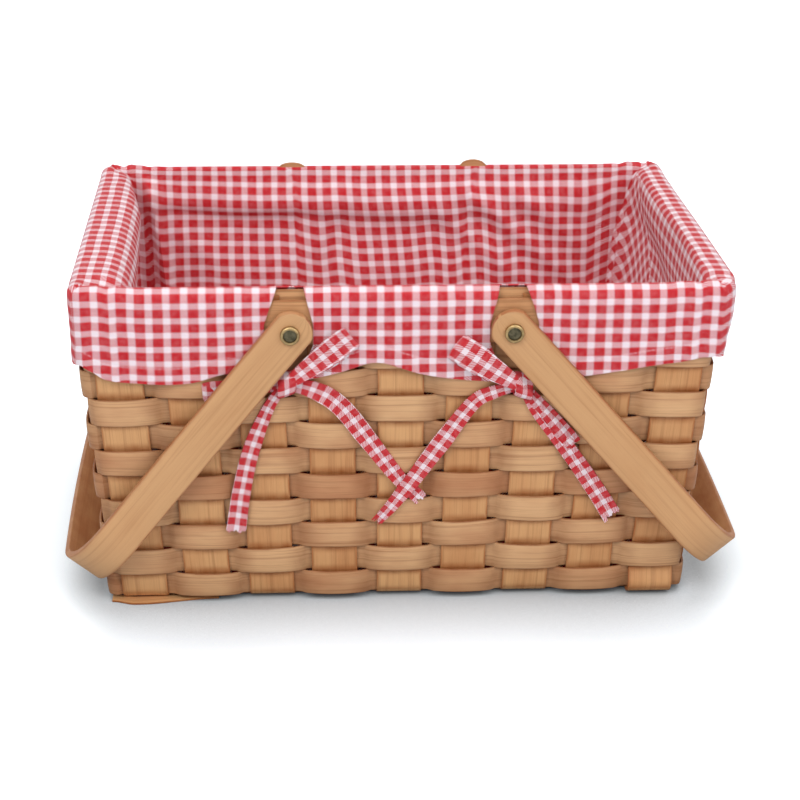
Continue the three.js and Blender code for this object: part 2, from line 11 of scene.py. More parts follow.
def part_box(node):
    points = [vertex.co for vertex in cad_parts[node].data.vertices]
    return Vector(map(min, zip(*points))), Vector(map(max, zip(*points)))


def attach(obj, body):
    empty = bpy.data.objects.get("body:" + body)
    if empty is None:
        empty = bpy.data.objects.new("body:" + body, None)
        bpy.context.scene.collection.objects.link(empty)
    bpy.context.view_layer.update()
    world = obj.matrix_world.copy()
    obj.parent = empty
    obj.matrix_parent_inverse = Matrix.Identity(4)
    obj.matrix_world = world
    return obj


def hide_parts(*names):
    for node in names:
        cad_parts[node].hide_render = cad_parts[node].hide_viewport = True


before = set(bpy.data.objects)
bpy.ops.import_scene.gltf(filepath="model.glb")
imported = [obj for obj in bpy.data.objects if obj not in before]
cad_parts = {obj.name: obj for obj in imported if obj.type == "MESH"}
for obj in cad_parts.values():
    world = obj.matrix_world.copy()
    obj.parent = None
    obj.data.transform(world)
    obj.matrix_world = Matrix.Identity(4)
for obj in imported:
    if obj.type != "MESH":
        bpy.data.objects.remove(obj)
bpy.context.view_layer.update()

MM = 0.001

# The frame is centred on the box round the handles, so the basket's own middle lies beside it
middle_stake_low, middle_stake_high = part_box("cross_stake_5")
MIDDLE_X = (middle_stake_low[0] + middle_stake_high[0]) / 2

# Walls and corners in the order they are walked, from the front left corner
FRONT, FRONT_RIGHT, RIGHT, BACK_RIGHT, BACK, BACK_LEFT, LEFT, FRONT_LEFT = range(8)

# The wall of stakes, measured on the middle plane of the strips
BASE_HALF_LENGTH = 170 * MM
BASE_HALF_DEPTH = 116 * MM
END_FLARE = 13 * MM
SIDE_FLARE = 5.5 * MM
STAKE_TOP = 195 * MM
WALL_CORNER = 5 * MM

# Split wood strips; a cut is the distance between bending cuts, an easing the bevel of the long edges
STRIP_THICKNESS = 1.2 * MM
SHARP_ANGLE = 40
GRAIN_SLANT = 0.37
SAME_PLACE = 1e-6
# The stake on the back wall behind which the two ends of a ring meet
SEAM_STAKE = 18

STAKE_WIDTH = 27 * MM
STAKE_CUT = 2.2 * MM
STAKE_EASING = 0.3 * MM
STAKE_TO_CORNER = 19 * MM
CROSS_STAKES = 9
LONG_STAKES = 6
STAKE_SWAY = 0.45 * MM
STAKE_BEND = 4 * MM
STAKE_WAVE = 0.5 * MM
STAKE_WAVE_REACH = 60 * MM
BASE_LEVEL = 2.1 * MM
BASE_WAVE = 1.5 * MM
BASE_FULLNESS = 0.6
LOOSE_FOOT = 4.5 * MM
LOOSE_FOOT_HEIGHTS = (8 * MM, 17 * MM)
LOOSE_FOOT_DEPTHS = (60 * MM, 110 * MM)
LOOSE_STRIP = ((-0.1715, -0.108), (-0.122, -0.113), (0.00005, 0.0012))

WEAVER_CUT = 2.0 * MM
WEAVER_EASING = 0.35 * MM
WEAVER_POINTS = 640
WEAVE_SWING = 2.25 * MM
WEAVE_FULLNESS = 0.42
LONG_WALL_SWELL = 0.9 * MM
ROWS = 10
ROW_HEIGHT = 16.5 * MM
ROW_PITCH = 16.37 * MM
FIRST_ROW_FOOT = 3.6 * MM
FIRST_ROW_HEIGHT = 15.1 * MM
SECOND_ROW_FOOT = 18.7 * MM
ROW_WAVE = 1.3 * MM
ROW_WAVE_REACH = 42 * MM
ROW_WAVE_SEED = 3
STEADY_FOOT = 20 * MM
STRIP_CAMBER = 0.3 * MM
LEFT_BULGE = 1.8 * MM
LEFT_BULGE_SPAN = (150 * MM, 172 * MM)
ROW_TONES = [0.5, 0.28, 0.45, 0.22, 0.72, 0.34, 0.42, 0.24, 0.36, 0.34]

# Rim bands
BAND_THICKNESS = 2.4 * MM
BAND_CUT = 2.6 * MM
BAND_EASING = 0.7 * MM
BAND_POINTS = 420
BAND_OFFSET = 2.1 * MM
OUTER_BAND = (166 * MM, 193 * MM)
INNER_BAND = (169 * MM, 198 * MM)
TAB_HALF = 9.5 * MM
BACK_TABS = ((-61.2 * MM, 4.4 * MM), (60.7 * MM, 5.8 * MM))

# Handles and rivets
PIVOT_X = 63.21 * MM
PIVOT_Z = 175 * MM
ARM_INNER = 127.23 * MM
HANDLE_THICKNESS = 4.5 * MM
ARM_MIDDLE = ARM_INNER + HANDLE_THICKNESS / 2
HANDLE_WIDTH = 24 * MM
HANDLE_CUT = 1.1 * MM
HANDLE_EASING = 1.1 * MM
HANDLE_SMOOTH = 35
HANDLE_REACH = 200 * MM
HANDLE_BAR_BOW = 5 * MM
HANDLE_BEND = 38 * MM
HANDLE_SPLAY = math.radians(3.5)
HANDLE_END = 13 * MM
HANDLE_TIP = 1.2 * MM
HANDLE_STAND_OFF = 4.5 * MM
HANDLE_LIFT = {"left": math.radians(0.6), "right": math.radians(3)}
HANDLE_TWIST = {"left": math.radians(1.1), "right": math.radians(0.4)}
# Band of a handle's thickness darkened as painted shade on its inner face
PAINTED_SHADE_INNER_FACE = (0.5 * MM, 2 * MM)
RIVET_BORE = 2.75 * MM
RIVET_SHANK = 2.5 * MM
RIVET_LENGTH = 16.2 * MM
RIVET_HEAD = 5.6 * MM
RIVET_HEIGHT = 2.2 * MM
RIVET_ROLL = 1.1 * MM
RIVET_HOLLOW = 4.0 * MM
RIVET_CLEARANCE = 0.3 * MM
ROUND_SIDES = 40
# Thickness and depth of each step from the rolled head down into the hollow
RIVET_STEPS = [(RIVET_HEAD - RIVET_ROLL - RIVET_HOLLOW, 0), (0.35 * MM, -0.5 * MM), (0.12 * MM, -1.1 * MM),
               (0.9 * MM, -0.1 * MM)]

# Cloth
CLOTH_THICKNESS = 0.7 * MM
CHECK_ALONG = 10.0 * MM
CHECK_DOWN = 8.7 * MM
THREADS = 24
DYED_SHARE = 0.56
TWILL = 4
HEM_FOLD = 9.6 * MM
STITCH = 2.6 * MM
TIE_WIDTH = 11 * MM
TIE_THICKNESS = 0.9 * MM
TIE_CHECK = 1.27
KNOT_X = {"left": 66.4 * MM, "right": 69.4 * MM}
KNOT_Z = {"left": 143.2 * MM, "right": 140.6 * MM}
KNOT_TILT = {"left": 0.35, "right": -0.35}

# Fineness of the wood's markings, along the grain and across it
FIBRES = (30, 2300)
GROWTH_LINES = (7, 420)
CLOUDS = (16, 45)
PATCHES = (45, 90)
# Pale and ruddy wood, the stain and painted shade of edges and crossings, and dark lines, then strength of
# the grain, of the wear and painted shade at crossings (on a handle, of the painted shade on its inner face)
# and gloss
WOODS = {
    "weaver_wood": ((218, 172, 126), (188, 130, 90), (126, 66, 26), (146, 92, 54), 0.46, 0.55, 0.42),
    "stake_wood": ((217, 166, 114), (200, 142, 92), (150, 76, 24), (142, 86, 46), 0.34, 1.0, 0.46),
    "rim_wood": ((216, 164, 116), (200, 144, 98), (150, 92, 52), (146, 94, 56), 0.5, 0.0, 0.5),
    "handle_wood": ((208, 160, 113), (201, 150, 103), (160, 94, 54), (176, 124, 80), 0.4, 0.8, 0.42),
}
DYED_YARN = (206, 46, 53)
PLAIN_YARN = (249, 232, 238)
# Painted shade in the valleys beside the threads
YARN_VALLEY_SHADE = (120, 60, 66)


def half_length(z):
    return BASE_HALF_LENGTH + END_FLARE * z / STAKE_TOP


def half_depth(z):
    return BASE_HALF_DEPTH + SIDE_FLARE * z / STAKE_TOP


def linear(red, green, blue):
    """A colour as seen on a screen, 0 to 255, as the shader wants it."""
    steps = []
    for value in (red, green, blue):
        share = value / 255
        steps.append(share / 12.92 if share <= 0.04045 else ((share + 0.055) / 1.055) ** 2.4)
    return (*steps, 1.0)


def bump(value, middle, spread):
    return np.exp(-(((value - middle) / spread) ** 2))


def ease(value, low, high):
    share = np.clip((value - low) / (high - low), 0, 1)
    return share * share * (3 - 2 * share)


# Working with meshes


def deselect_all():
    if bpy.context.object is not None and bpy.context.object.mode != "OBJECT":
        bpy.ops.object.mode_set(mode="OBJECT")
    bpy.ops.object.select_all(action="DESELECT")


def hold(piece):
    """Only this piece is chosen and active."""
    deselect_all()
    piece.select_set(True)
    bpy.context.view_layer.objects.active = piece


def name_new(name):
    piece = bpy.context.active_object
    piece.name = name
    piece.data.name = name
    return piece


def choose(piece, kind, test):
    """Goes to edit mode with only the edges or faces chosen that pass the test."""
    hold(piece)
    bpy.ops.object.mode_set(mode="EDIT")
    bpy.ops.mesh.select_mode(type=kind)
    bpy.ops.mesh.select_all(action="DESELECT")
    bpy.ops.object.mode_set(mode="OBJECT")
    spots = piece.data.vertices
    if kind == "EDGE":
        for edge in piece.data.edges:
            edge.select = test(spots[edge.vertices[0]].co, spots[edge.vertices[1]].co)
    else:
        for face in piece.data.polygons:
            face.select = test(face.center, face.normal)
    bpy.ops.object.mode_set(mode="EDIT")


def finish_edit():
    bpy.ops.object.mode_set(mode="OBJECT")


def places_of(piece):
    flat = np.empty(len(piece.data.vertices) * 3)
    piece.data.vertices.foreach_get("co", flat)
    return flat.reshape(-1, 3)


def set_places(piece, places):
    piece.data.vertices.foreach_set("co", np.asarray(places, float).ravel())
    piece.data.update()


def apply_modifier(piece, kind, **settings):
    hold(piece)
    modifier = piece.modifiers.new(kind.lower(), kind)
    for key, value in settings.items():
        setattr(modifier, key, value)
    bpy.ops.object.modifier_apply(modifier=modifier.name)


def smooth(piece, degrees):
    hold(piece)
    bpy.ops.object.shade_smooth_by_angle(angle=math.radians(degrees))


def outward(piece):
    hold(piece)
    bpy.ops.object.mode_set(mode="EDIT")
    bpy.ops.mesh.select_all(action="SELECT")
    bpy.ops.mesh.normals_make_consistent(inside=False)
    finish_edit()


def write_point_value(piece, name, values):
    layer = piece.data.attributes.get(name)
    if layer is None:
        layer = piece.data.attributes.new(name, "FLOAT", "POINT")
    layer.data.foreach_set("value", np.asarray(values, np.float32))


def write_uv(piece, along, across):
    """The pattern map, from one pair of values for each corner of each face."""
    layer = piece.data.uv_layers.active or piece.data.uv_layers.new(name="pattern")
    layer.name = "pattern"
    layer.data.foreach_set("uv", np.column_stack([along, across]).astype(np.float32).ravel())


def corner_vertices(piece):
    spots = np.empty(len(piece.data.loops), int)
    piece.data.loops.foreach_get("vertex_index", spots)
    return spots


def link_new(name, data):
    """A new object in the scene that holds the data."""
    holder = bpy.data.objects.new(name, data)
    bpy.context.scene.collection.objects.link(holder)
    return holder


def flat_grid(name, x_cells, y_cells):
    deselect_all()
    bpy.ops.mesh.primitive_grid_add(x_subdivisions=x_cells, y_subdivisions=y_cells, size=2)
    return name_new(name)


def grid_steps(places, cells):
    """Which line of a flat grid, counted from its low edge, each place lies on."""
    return np.rint((places + 1) / 2 * cells).astype(int)


def settle(piece, body, slot, *nodes):
    """Gives a finished piece its finish, its body and the solids that it stands for."""
    piece.data.materials.clear()
    piece.data.materials.append(finishes[slot])
    piece.data.transform(Matrix.Translation((MIDDLE_X, 0, 0)))
    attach(piece, body)
    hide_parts(*nodes)


# Finishes


class Finish:
    """The nodes of a material or of the world being wired up."""

    def __init__(self, owner, shader="Principled BSDF"):
        owner.use_nodes = True
        self.owner = owner
        self.tree = owner.node_tree
        self.shader = self.tree.nodes[shader]

    def fill(self, node, inputs):
        """Links or sets inputs of a node by their names or numbers."""
        for key, value in inputs.items():
            if isinstance(value, bpy.types.NodeSocket):
                self.tree.links.new(value, node.inputs[key])
            else:
                node.inputs[key].default_value = value

    def add(self, kind, inputs=None, **settings):
        node = self.tree.nodes.new(kind)
        for key, value in settings.items():
            setattr(node, key, value)
        self.fill(node, inputs or {})
        return node

    def sum(self, operation, first, second=0.0):
        return self.add("ShaderNodeMath", {0: first, 1: second}, operation=operation).outputs[0]

    def vector(self, operation, inputs):
        return self.add("ShaderNodeVectorMath", inputs, operation=operation).outputs

    def mix(self, share, first, second, blend="MIX"):
        inputs = {"Factor": share, 6: first, 7: second}
        return self.add("ShaderNodeMix", inputs, data_type="RGBA", blend_type=blend).outputs[2]

    def span(self, value, low, high, to_low=0.0, to_high=1.0):
        inputs = {"Value": value, "From Min": low, "From Max": high, "To Min": to_low, "To Max": to_high}
        return self.add("ShaderNodeMapRange", inputs, interpolation_type="SMOOTHSTEP").outputs["Result"]

    def value_of(self, attribute):
        return self.add("ShaderNodeAttribute", attribute_name=attribute).outputs["Fac"]

    def pattern(self):
        return self.add("ShaderNodeUVMap", uv_map="pattern").outputs["UV"]

    def object_place(self):
        return self.add("ShaderNodeTexCoord").outputs["Object"]

    def split(self, vector):
        return self.add("ShaderNodeSeparateXYZ", {0: vector}).outputs

    def speckle(self, vector, along, across, through=1.0, detail=3.0, roughness=0.55, distortion=0.0):
        """Uneven grey, with its own fineness along each axis."""
        scaled = self.add("ShaderNodeMapping", {"Vector": vector, "Scale": (along, across, through)})
        inputs = {"Vector": scaled.outputs["Vector"], "Scale": 1.0, "Detail": detail, "Roughness": roughness,
                  "Distortion": distortion}
        return self.add("ShaderNodeTexNoise", inputs).outputs["Fac"]

    def relief(self, height, strength, distance):
        dent = self.add("ShaderNodeBump", {"Strength": strength, "Distance": distance, "Height": height})
        self.fill(self.shader, {"Normal": dent.outputs["Normal"]})


def split_wood(name, pale, ruddy, stain_and_shade_colour, dark_line, grain, wear_and_shade_strength, gloss):
    """Planed splint: long fibres, growth lines, edges and crossings browned by stain and painted shade, and a
    tone for each strip.
    """
    wood = Finish(bpy.data.materials.new(name))
    place = wood.pattern()
    fibre = wood.speckle(place, *FIBRES, detail=5, roughness=0.7)
    growth = wood.speckle(place, *GROWTH_LINES, detail=4, roughness=0.6, distortion=0.7)
    cloud = wood.speckle(place, *CLOUDS)
    patchy = wood.speckle(place, *PATCHES, detail=4)
    uneven = wood.sum("MULTIPLY", wood.sum("SUBTRACT", cloud, 0.5), 1.6)
    shade = wood.sum("ADD", wood.value_of("tone"), uneven)
    colour = wood.mix(wood.span(shade, 0.0, 1.0), linear(*pale), linear(*ruddy))
    for line in (wood.span(growth, 0.46, 0.7), wood.span(fibre, 0.5, 0.78)):
        colour = wood.mix(wood.sum("MULTIPLY", line, grain), colour, linear(*dark_line))
    # Edges and crossings darken towards the stain colour, partly a real stain and partly painted shade where
    # strips meet and pass under one another; on a handle the crossing share is painted shade on its inner
    # face
    edge = wood.span(wood.sum("ABSOLUTE", wood.value_of("across")), 0.86, 1.0)
    wear_and_shade_mask = wood.sum("MULTIPLY", wood.span(wood.value_of("wear_and_shade"), 0.34, 1.0), wear_and_shade_strength)
    stain_and_shade_mask = wood.sum("MULTIPLY", wood.sum("MAXIMUM", edge, wear_and_shade_mask), wood.span(patchy, 0.28, 0.7, 0.45, 1.0))
    colour = wood.mix(wood.sum("MULTIPLY", stain_and_shade_mask, 0.85), colour, linear(*stain_and_shade_colour))
    wood.fill(wood.shader, {
        "Base Color": colour,
        "Roughness": wood.span(fibre, 0.2, 0.8, gloss, gloss + 0.16),
        "Specular IOR Level": 0.3,
    })
    wood.relief(wood.sum("ADD", fibre, wood.sum("MULTIPLY", growth, 0.8)), 0.4, 0.25 * MM)
    return wood.owner


def checked_cotton(name, has_hem):
    """Gingham woven thread by thread: dyed and plain bands of yarn cross in a small twill."""
    cloth = Finish(bpy.data.materials.new(name))
    red, white = linear(*DYED_YARN), linear(*PLAIN_YARN)
    place = cloth.pattern()
    drift = cloth.add("ShaderNodeTexNoise", {"Vector": place, "Scale": 55, "Detail": 1}).outputs["Color"]
    shift = cloth.vector("SUBTRACT", {0: drift, 1: (0.5, 0.5, 0.5)})[0]
    shift = cloth.vector("SCALE", {0: shift, "Scale": 1.1 * MM})[0]
    parts = cloth.split(cloth.vector("ADD", {0: place, 1: shift})[0])
    yarns = []
    for socket, repeat in ((parts["X"], CHECK_ALONG), (parts["Y"], CHECK_DOWN)):
        count = cloth.sum("MULTIPLY", socket, THREADS / repeat)
        number = cloth.sum("FLOOR", count)
        dyed = cloth.sum("LESS_THAN", cloth.sum("FLOORED_MODULO", number, THREADS), THREADS * DYED_SHARE)
        within = cloth.sum("SUBTRACT", count, number)
        yarns.append((number, dyed, cloth.sum("ABSOLUTE", cloth.sum("SUBTRACT", within, 0.5))))
    (number, dyed, flank), (down_number, down_dyed, down_flank) = yarns
    step = cloth.sum("FLOORED_MODULO", cloth.sum("ADD", number, down_number), TWILL)
    over = cloth.sum("LESS_THAN", step, 1.5)
    upper = cloth.span(over, 0.0, 1.0, 0.06, 0.94)
    colour = cloth.mix(upper, cloth.mix(down_dyed, white, red), cloth.mix(dyed, white, red))
    colour = cloth.mix(cloth.sum("MULTIPLY", cloth.sum("MAXIMUM", dyed, down_dyed), 0.1), colour, red)
    slub = cloth.speckle(place, 260, 260, detail=2)
    colour = cloth.mix(cloth.span(slub, 0.35, 0.75, 0.0, 0.07), colour, white)
    under = cloth.sum("SUBTRACT", 1.0, over)
    flank = cloth.sum("ADD", cloth.sum("MULTIPLY", flank, over), cloth.sum("MULTIPLY", down_flank, under))
    # Painted shade in the valleys beside each thread that lies on top
    colour = cloth.mix(cloth.span(flank, 0.32, 0.5, 0.0, 0.22), colour, linear(*YARN_VALLEY_SHADE), "MULTIPLY")
    height = cloth.sum("SUBTRACT", 1.0, cloth.sum("MULTIPLY", flank, 1.6))
    if has_hem:
        near = cloth.sum("ABSOLUTE", cloth.sum("SUBTRACT", cloth.value_of("hem"), HEM_FOLD))
        dash = cloth.sum("FRACT", cloth.sum("MULTIPLY", parts["X"], 1 / STITCH))
        row = cloth.sum("LESS_THAN", near, 0.42 * MM)
        stitch = cloth.sum("MULTIPLY", row, cloth.sum("LESS_THAN", dash, 0.7))
        colour = cloth.mix(cloth.sum("MULTIPLY", stitch, 0.4), colour, white)
        height = cloth.sum("ADD", height, cloth.sum("MULTIPLY", stitch, 1.2))
        height = cloth.sum("ADD", height, cloth.span(near, 0.3 * MM, 1.6 * MM, -0.9, 0.0))
    cloth.fill(cloth.shader, {
        "Base Color": colour,
        "Roughness": 0.88,
        "Specular IOR Level": 0.15,
        "Sheen Weight": 0.12,
        "Sheen Roughness": 0.5,
    })
    cloth.relief(height, 0.5, 0.2 * MM)
    return cloth.owner


def worn_brass(name, bright, tarnish, roughness):
    metal = Finish(bpy.data.materials.new(name))
    place = metal.object_place()
    bloom = metal.speckle(place, 420, 420, 420, detail=4)
    scratch = metal.speckle(place, 1800, 1800, 300, detail=2)
    metal.fill(metal.shader, {
        "Base Color": metal.mix(metal.span(bloom, 0.4, 0.75), linear(*bright), linear(*tarnish)),
        "Roughness": metal.span(bloom, 0.3, 0.7, roughness, roughness + 0.2),
        "Metallic": 1.0,
    })
    metal.relief(scratch, 0.12, 0.1 * MM)
    return metal.owner


finishes = {slot: split_wood(slot.replace("_", " "), *look) for slot, look in WOODS.items()}
finishes["liner_cloth"] = checked_cotton("liner cotton", True)
finishes["tie_cloth"] = checked_cotton("tie cotton", False)
finishes["brass"] = worn_brass("rivet brass", (182, 154, 108), (132, 112, 78), 0.3)
hollow_brass = worn_brass("rivet hollow", (112, 104, 82), (80, 76, 60), 0.42)


# Strips of wood


def flat_strip(name, length, thickness, width, cut, easing):
    """A straight strip from the origin along X, its width along Z, with eased edges and cuts for bending."""
    deselect_all()
    bpy.ops.mesh.primitive_cube_add(size=1, location=(length / 2, 0, 0), scale=(length, thickness, width))
    strip = name_new(name)
    bpy.ops.object.transform_apply(location=True, rotation=True, scale=True)

    def is_long(one, other):
        gap = one - other
        return abs(gap.x) > SAME_PLACE and abs(gap.y) + abs(gap.z) < SAME_PLACE

    def is_cross(one, other):
        return abs(one.z - other.z) > width / 2

    choose(strip, "EDGE", is_long)
    bpy.ops.mesh.bevel(offset=easing, segments=2, affect="EDGES")
    finish_edit()
    pieces = max(4, round(length / cut))
    first = max(2, round(math.sqrt(pieces)))
    for test, cuts in ((is_cross, 4), (is_long, first), (is_long, max(2, round(pieces / first)))):
        choose(strip, "EDGE", test)
        bpy.ops.mesh.subdivide(number_cuts=cuts - 1)
        finish_edit()
    return strip


def lay_grain(strip, tone, start, crossings=None):
    """Grain along the strip from its own place in the log, and wear with painted shade where other strips
    cross.
    """
    places = places_of(strip)
    write_point_value(strip, "across", places[:, 2] / np.abs(places[:, 2]).max())
    wear_and_shade = np.zeros(len(places)) if crossings is None else np.interp(places[:, 0], *crossings)
    write_point_value(strip, "wear_and_shade", wear_and_shade)
    write_point_value(strip, "tone", np.full(len(places), tone))
    corners = places[corner_vertices(strip)]
    write_uv(strip, corners[:, 0] + start, corners[:, 2] + corners[:, 1] + start * GRAIN_SLANT)


def gone_along(points):
    """Length walked at each point of a line."""
    steps = np.diff(np.asarray(points), axis=0)
    return np.concatenate([[0], np.cumsum(np.sqrt((steps ** 2).sum(1)))])


def path_length(points):
    return float(gone_along(points)[-1])


def bend_along(strip, points):
    """Bends a straight strip along a line drawn flat on the ground."""
    line = bpy.data.curves.new("bending line", "CURVE")
    line.dimensions = "2D"
    run = line.splines.new("POLY")
    run.points.add(len(points) - 1)
    for spot, (x, y) in zip(run.points, points):
        spot.co = (x, y, 0, 1)
    path = link_new("bending line", line)
    apply_modifier(strip, "CURVE", object=path, deform_axis="POS_X")
    bpy.data.objects.remove(path)
    bpy.data.curves.remove(line)


def bend_round(strip, points, middle):
    """Bends a strip to a ring, lifts it to its height and lets it follow the flare of the walls."""
    bend_along(strip, points)
    places = places_of(strip)
    places[:, 2] += middle
    places[:, 0] *= half_length(places[:, 2]) / half_length(middle)
    places[:, 1] *= half_depth(places[:, 2]) / half_depth(middle)
    return places


def finish_strip(strip, places, slot, *nodes):
    set_places(strip, places)
    smooth(strip, SHARP_ANGLE)
    settle(strip, "basket", slot, *nodes)


def wobble(places, reach, size, seed):
    """A slow unevenness, the same at each run."""
    shift = Vector((seed * 7.13, seed * 3.71, seed * 1.93))
    return np.array([noise.noise(Vector(spot) / reach + shift) for spot in places]) * size


class WallRun:
    """The closed line round the wall at one height, walked from the front left corner."""

    def __init__(self, z):
        self.a = half_length(z)
        self.b = half_depth(z)
        self.r = WALL_CORNER
        quarter = self.r * math.pi / 2
        front = 2 * (self.a - self.r)
        side = 2 * (self.b - self.r)
        self.stops = np.cumsum([0, front, quarter, side, quarter, front, quarter, side, quarter])
        self.whole = self.stops[-1]

    def at(self, run):
        """Point and outward direction."""
        run = run % self.whole
        part = min(int(np.searchsorted(self.stops, run, side="right")) - 1, FRONT_LEFT)
        gone = run - self.stops[part]
        a, b, r = self.a, self.b, self.r
        middles = {FRONT_RIGHT: (a - r, r - b), BACK_RIGHT: (a - r, b - r),
                   BACK_LEFT: (r - a, b - r), FRONT_LEFT: (r - a, r - b)}
        if part in middles:
            turn = -math.pi / 2 + (part - 1) * math.pi / 4 + gone / r
            out = (math.cos(turn), math.sin(turn))
            return (middles[part][0] + r * out[0], middles[part][1] + r * out[1]), out
        straights = {FRONT: ((r - a + gone, -b), (0, -1)), RIGHT: ((a, r - b + gone), (1, 0)),
                     BACK: ((a - r - gone, b), (0, 1)), LEFT: ((-a, b - r - gone), (-1, 0))}
        return straights[part]

    def stake_runs(self):
        """Where the stakes stand on the line."""
        runs = []
        for part in (FRONT, RIGHT, BACK, LEFT):
            count, half = (LONG_STAKES, self.b) if part in (RIGHT, LEFT) else (CROSS_STAKES, self.a)
            runs += [self.stops[part] + stake_place(i, count, half) + half - self.r for i in range(count)]
        return np.array(runs)

    def ring(self, runs, offsets):
        """Points that stand off the line."""
        points = []
        for run, offset in zip(runs, offsets):
            (x, y), out = self.at(run)
            points.append((x + out[0] * offset, y + out[1] * offset))
        return points


def stake_place(index, count, half):
    return (half - STAKE_TO_CORNER) * (2 * index / (count - 1) - 1)


def row_span(row):
    if row == 1:
        return FIRST_ROW_FOOT, FIRST_ROW_HEIGHT
    return SECOND_ROW_FOOT + (row - 2) * ROW_PITCH, ROW_HEIGHT


def weave_side(row, number):
    """1 where a row passes outside a stake, -1 where it passes inside."""
    return -1 if (row + number) % 2 else 1


def weaver_row(row):
    """One strip woven round the basket, in front of every other stake."""
    chance = random.Random(100 + row)
    foot, height = row_span(row)
    middle = foot + height / 2
    wall = WallRun(middle)
    stakes = wall.stake_runs()
    swing = [WEAVE_SWING * chance.uniform(0.94, 1.06) for _ in stakes]
    before = np.roll(stakes, 1)
    before[0] -= wall.whole
    after = np.roll(stakes, -1)
    after[-1] += wall.whole
    low = (before + stakes) / 2
    high = (stakes + after) / 2

    def offset(run):
        """How far out the strip lies, and how far along from the nearest stake to the next."""
        run = run % wall.whole
        if run < low[0]:
            run += wall.whole
        nearest = int(np.searchsorted(low, run, side="right")) - 1
        gap = run - stakes[nearest]
        limit = high if gap > 0 else low
        share = gap / (limit[nearest] - stakes[nearest])
        side = weave_side(row, nearest)
        push = side * swing[nearest] * max(0.0, math.cos(share * math.pi / 2)) ** WEAVE_FULLNESS
        on_long_wall = nearest % (CROSS_STAKES + LONG_STAKES) < CROSS_STAKES
        if side > 0 and on_long_wall:
            push += LONG_WALL_SWELL * (1 - share ** 2)
        return push, share

    start = stakes[SEAM_STAKE - 1 + row % 2]
    runs = np.linspace(start, start + wall.whole, WEAVER_POINTS)
    offsets, shares = zip(*[offset(run) for run in runs])
    points = wall.ring(runs, offsets)
    tall = height - chance.uniform(0.0, 0.3) * MM
    name = f"woven_strip_{row}"
    strip = flat_strip(name, path_length(points), STRIP_THICKNESS, tall, WEAVER_CUT, WEAVER_EASING)
    lay_grain(strip, ROW_TONES[row - 1], chance.uniform(0, 3), (gone_along(points), shares))
    places = places_of(strip)
    places[:, 1] += STRIP_CAMBER * (places[:, 2] / (tall / 2)) ** 2
    set_places(strip, places)
    places = bend_round(strip, points, middle)
    places[:, 0] -= LEFT_BULGE * ease(-places[:, 0], *LEFT_BULGE_SPAN)
    steady = np.clip(places[:, 2] / STEADY_FOOT, 0, 1)
    places[:, 2] += wobble(places, ROW_WAVE_REACH, ROW_WAVE, ROW_WAVE_SEED) * steady
    finish_strip(strip, places, "weaver_wood", f"weaver_row_{row}")


def row_at(z):
    """The row at a height, and -1 to 1 from its foot to its top."""
    row = 1 if z < SECOND_ROW_FOOT else min(ROWS, 2 + int((z - SECOND_ROW_FOOT) / ROW_PITCH))
    foot, height = row_span(row)
    return row, max(-1.0, min(1.0, (z - foot - height / 2) / (height / 2)))


def stake_sway(z, number):
    """A stake gives a little away from each strip that crosses it."""
    if z < FIRST_ROW_FOOT:
        return 0.0
    row, share = row_at(z)
    return -weave_side(row, number) * STAKE_SWAY * math.cos(share * math.pi / 2)


def stake_line(half, base_levels, first, last):
    """The side view of a stake: down one wall, under the base and up the other."""
    heights = np.linspace(STAKE_TOP, BASE_LEVEL + STAKE_BEND, 96)
    bend = []
    for turn in np.linspace(0, math.pi / 2, 7)[1:-1]:
        inward, up = STAKE_BEND * (1 - math.cos(turn)), STAKE_BEND * (1 - math.sin(turn))
        bend.append((-half(0) + inward, BASE_LEVEL + up))
    line = [(-half(z) - stake_sway(z, first), z) for z in heights]
    line += bend + base_levels + [(-x, z) for x, z in bend[::-1]]
    line += [(half(z) + stake_sway(z, last), z) for z in heights[::-1]]
    return line


def cut_stake(name, line, chance, seed):
    """A stake bent to its line, lying on its side, and the places of its vertices."""
    width = STAKE_WIDTH - chance.uniform(0.0, 0.7) * MM
    strip = flat_strip(name, path_length(line), STRIP_THICKNESS, width, STAKE_CUT, STAKE_EASING)
    crossings = [abs(row_at(z)[1]) if z > FIRST_ROW_FOOT else 0.0 for _, z in line]
    lay_grain(strip, chance.uniform(0.2, 0.75), chance.uniform(0, 3), (gone_along(line), crossings))
    bend_along(strip, line)
    places = places_of(strip)
    places[:, 2] += wobble(places, STAKE_WAVE_REACH, STAKE_WAVE, seed)
    return strip, places


def cross_stake(column):
    reach = half_depth(0) - STAKE_BEND
    level = [(y, BASE_LEVEL) for y in np.linspace(-reach, reach, 60)]
    back_number = 2 * CROSS_STAKES + LONG_STAKES - 1 - column
    line = stake_line(half_depth, level, column, back_number)
    name = f"front_to_back_stake_{column + 1}"
    strip, places = cut_stake(name, line, random.Random(200 + column), 31 + column)
    turned = np.column_stack([places[:, 2], places[:, 0], places[:, 1]])
    turned[:, 0] += stake_place(column, CROSS_STAKES, half_length(turned[:, 2]))
    if column == CROSS_STAKES - 1:
        low = 1 - ease(turned[:, 2], *LOOSE_FOOT_HEIGHTS)
        turned[:, 1] -= LOOSE_FOOT * low * ease(-turned[:, 1], *LOOSE_FOOT_DEPTHS)
    finish_strip(strip, turned, "stake_wood", f"cross_stake_{column + 1}")


def loose_strip():
    """A spare end of splint that shows under the front left corner."""
    (left, right), (front, back), (low, high) = LOOSE_STRIP
    length = right - left
    strip = flat_strip("loose_base_strip", length, high - low, back - front, 2 * MM, STAKE_EASING)
    lay_grain(strip, 0.2, 1.3)
    places = places_of(strip)
    near, far = 1 - ease(places[:, 0], 0, 0.22 * length), ease(places[:, 0], 0.25 * length, length)
    depth = (front + back) / 2 + (4 * MM * near + 6 * MM * far) - places[:, 2]
    turned = np.column_stack([places[:, 0] + left, depth, places[:, 1] + (low + high) / 2])
    finish_strip(strip, turned, "stake_wood")


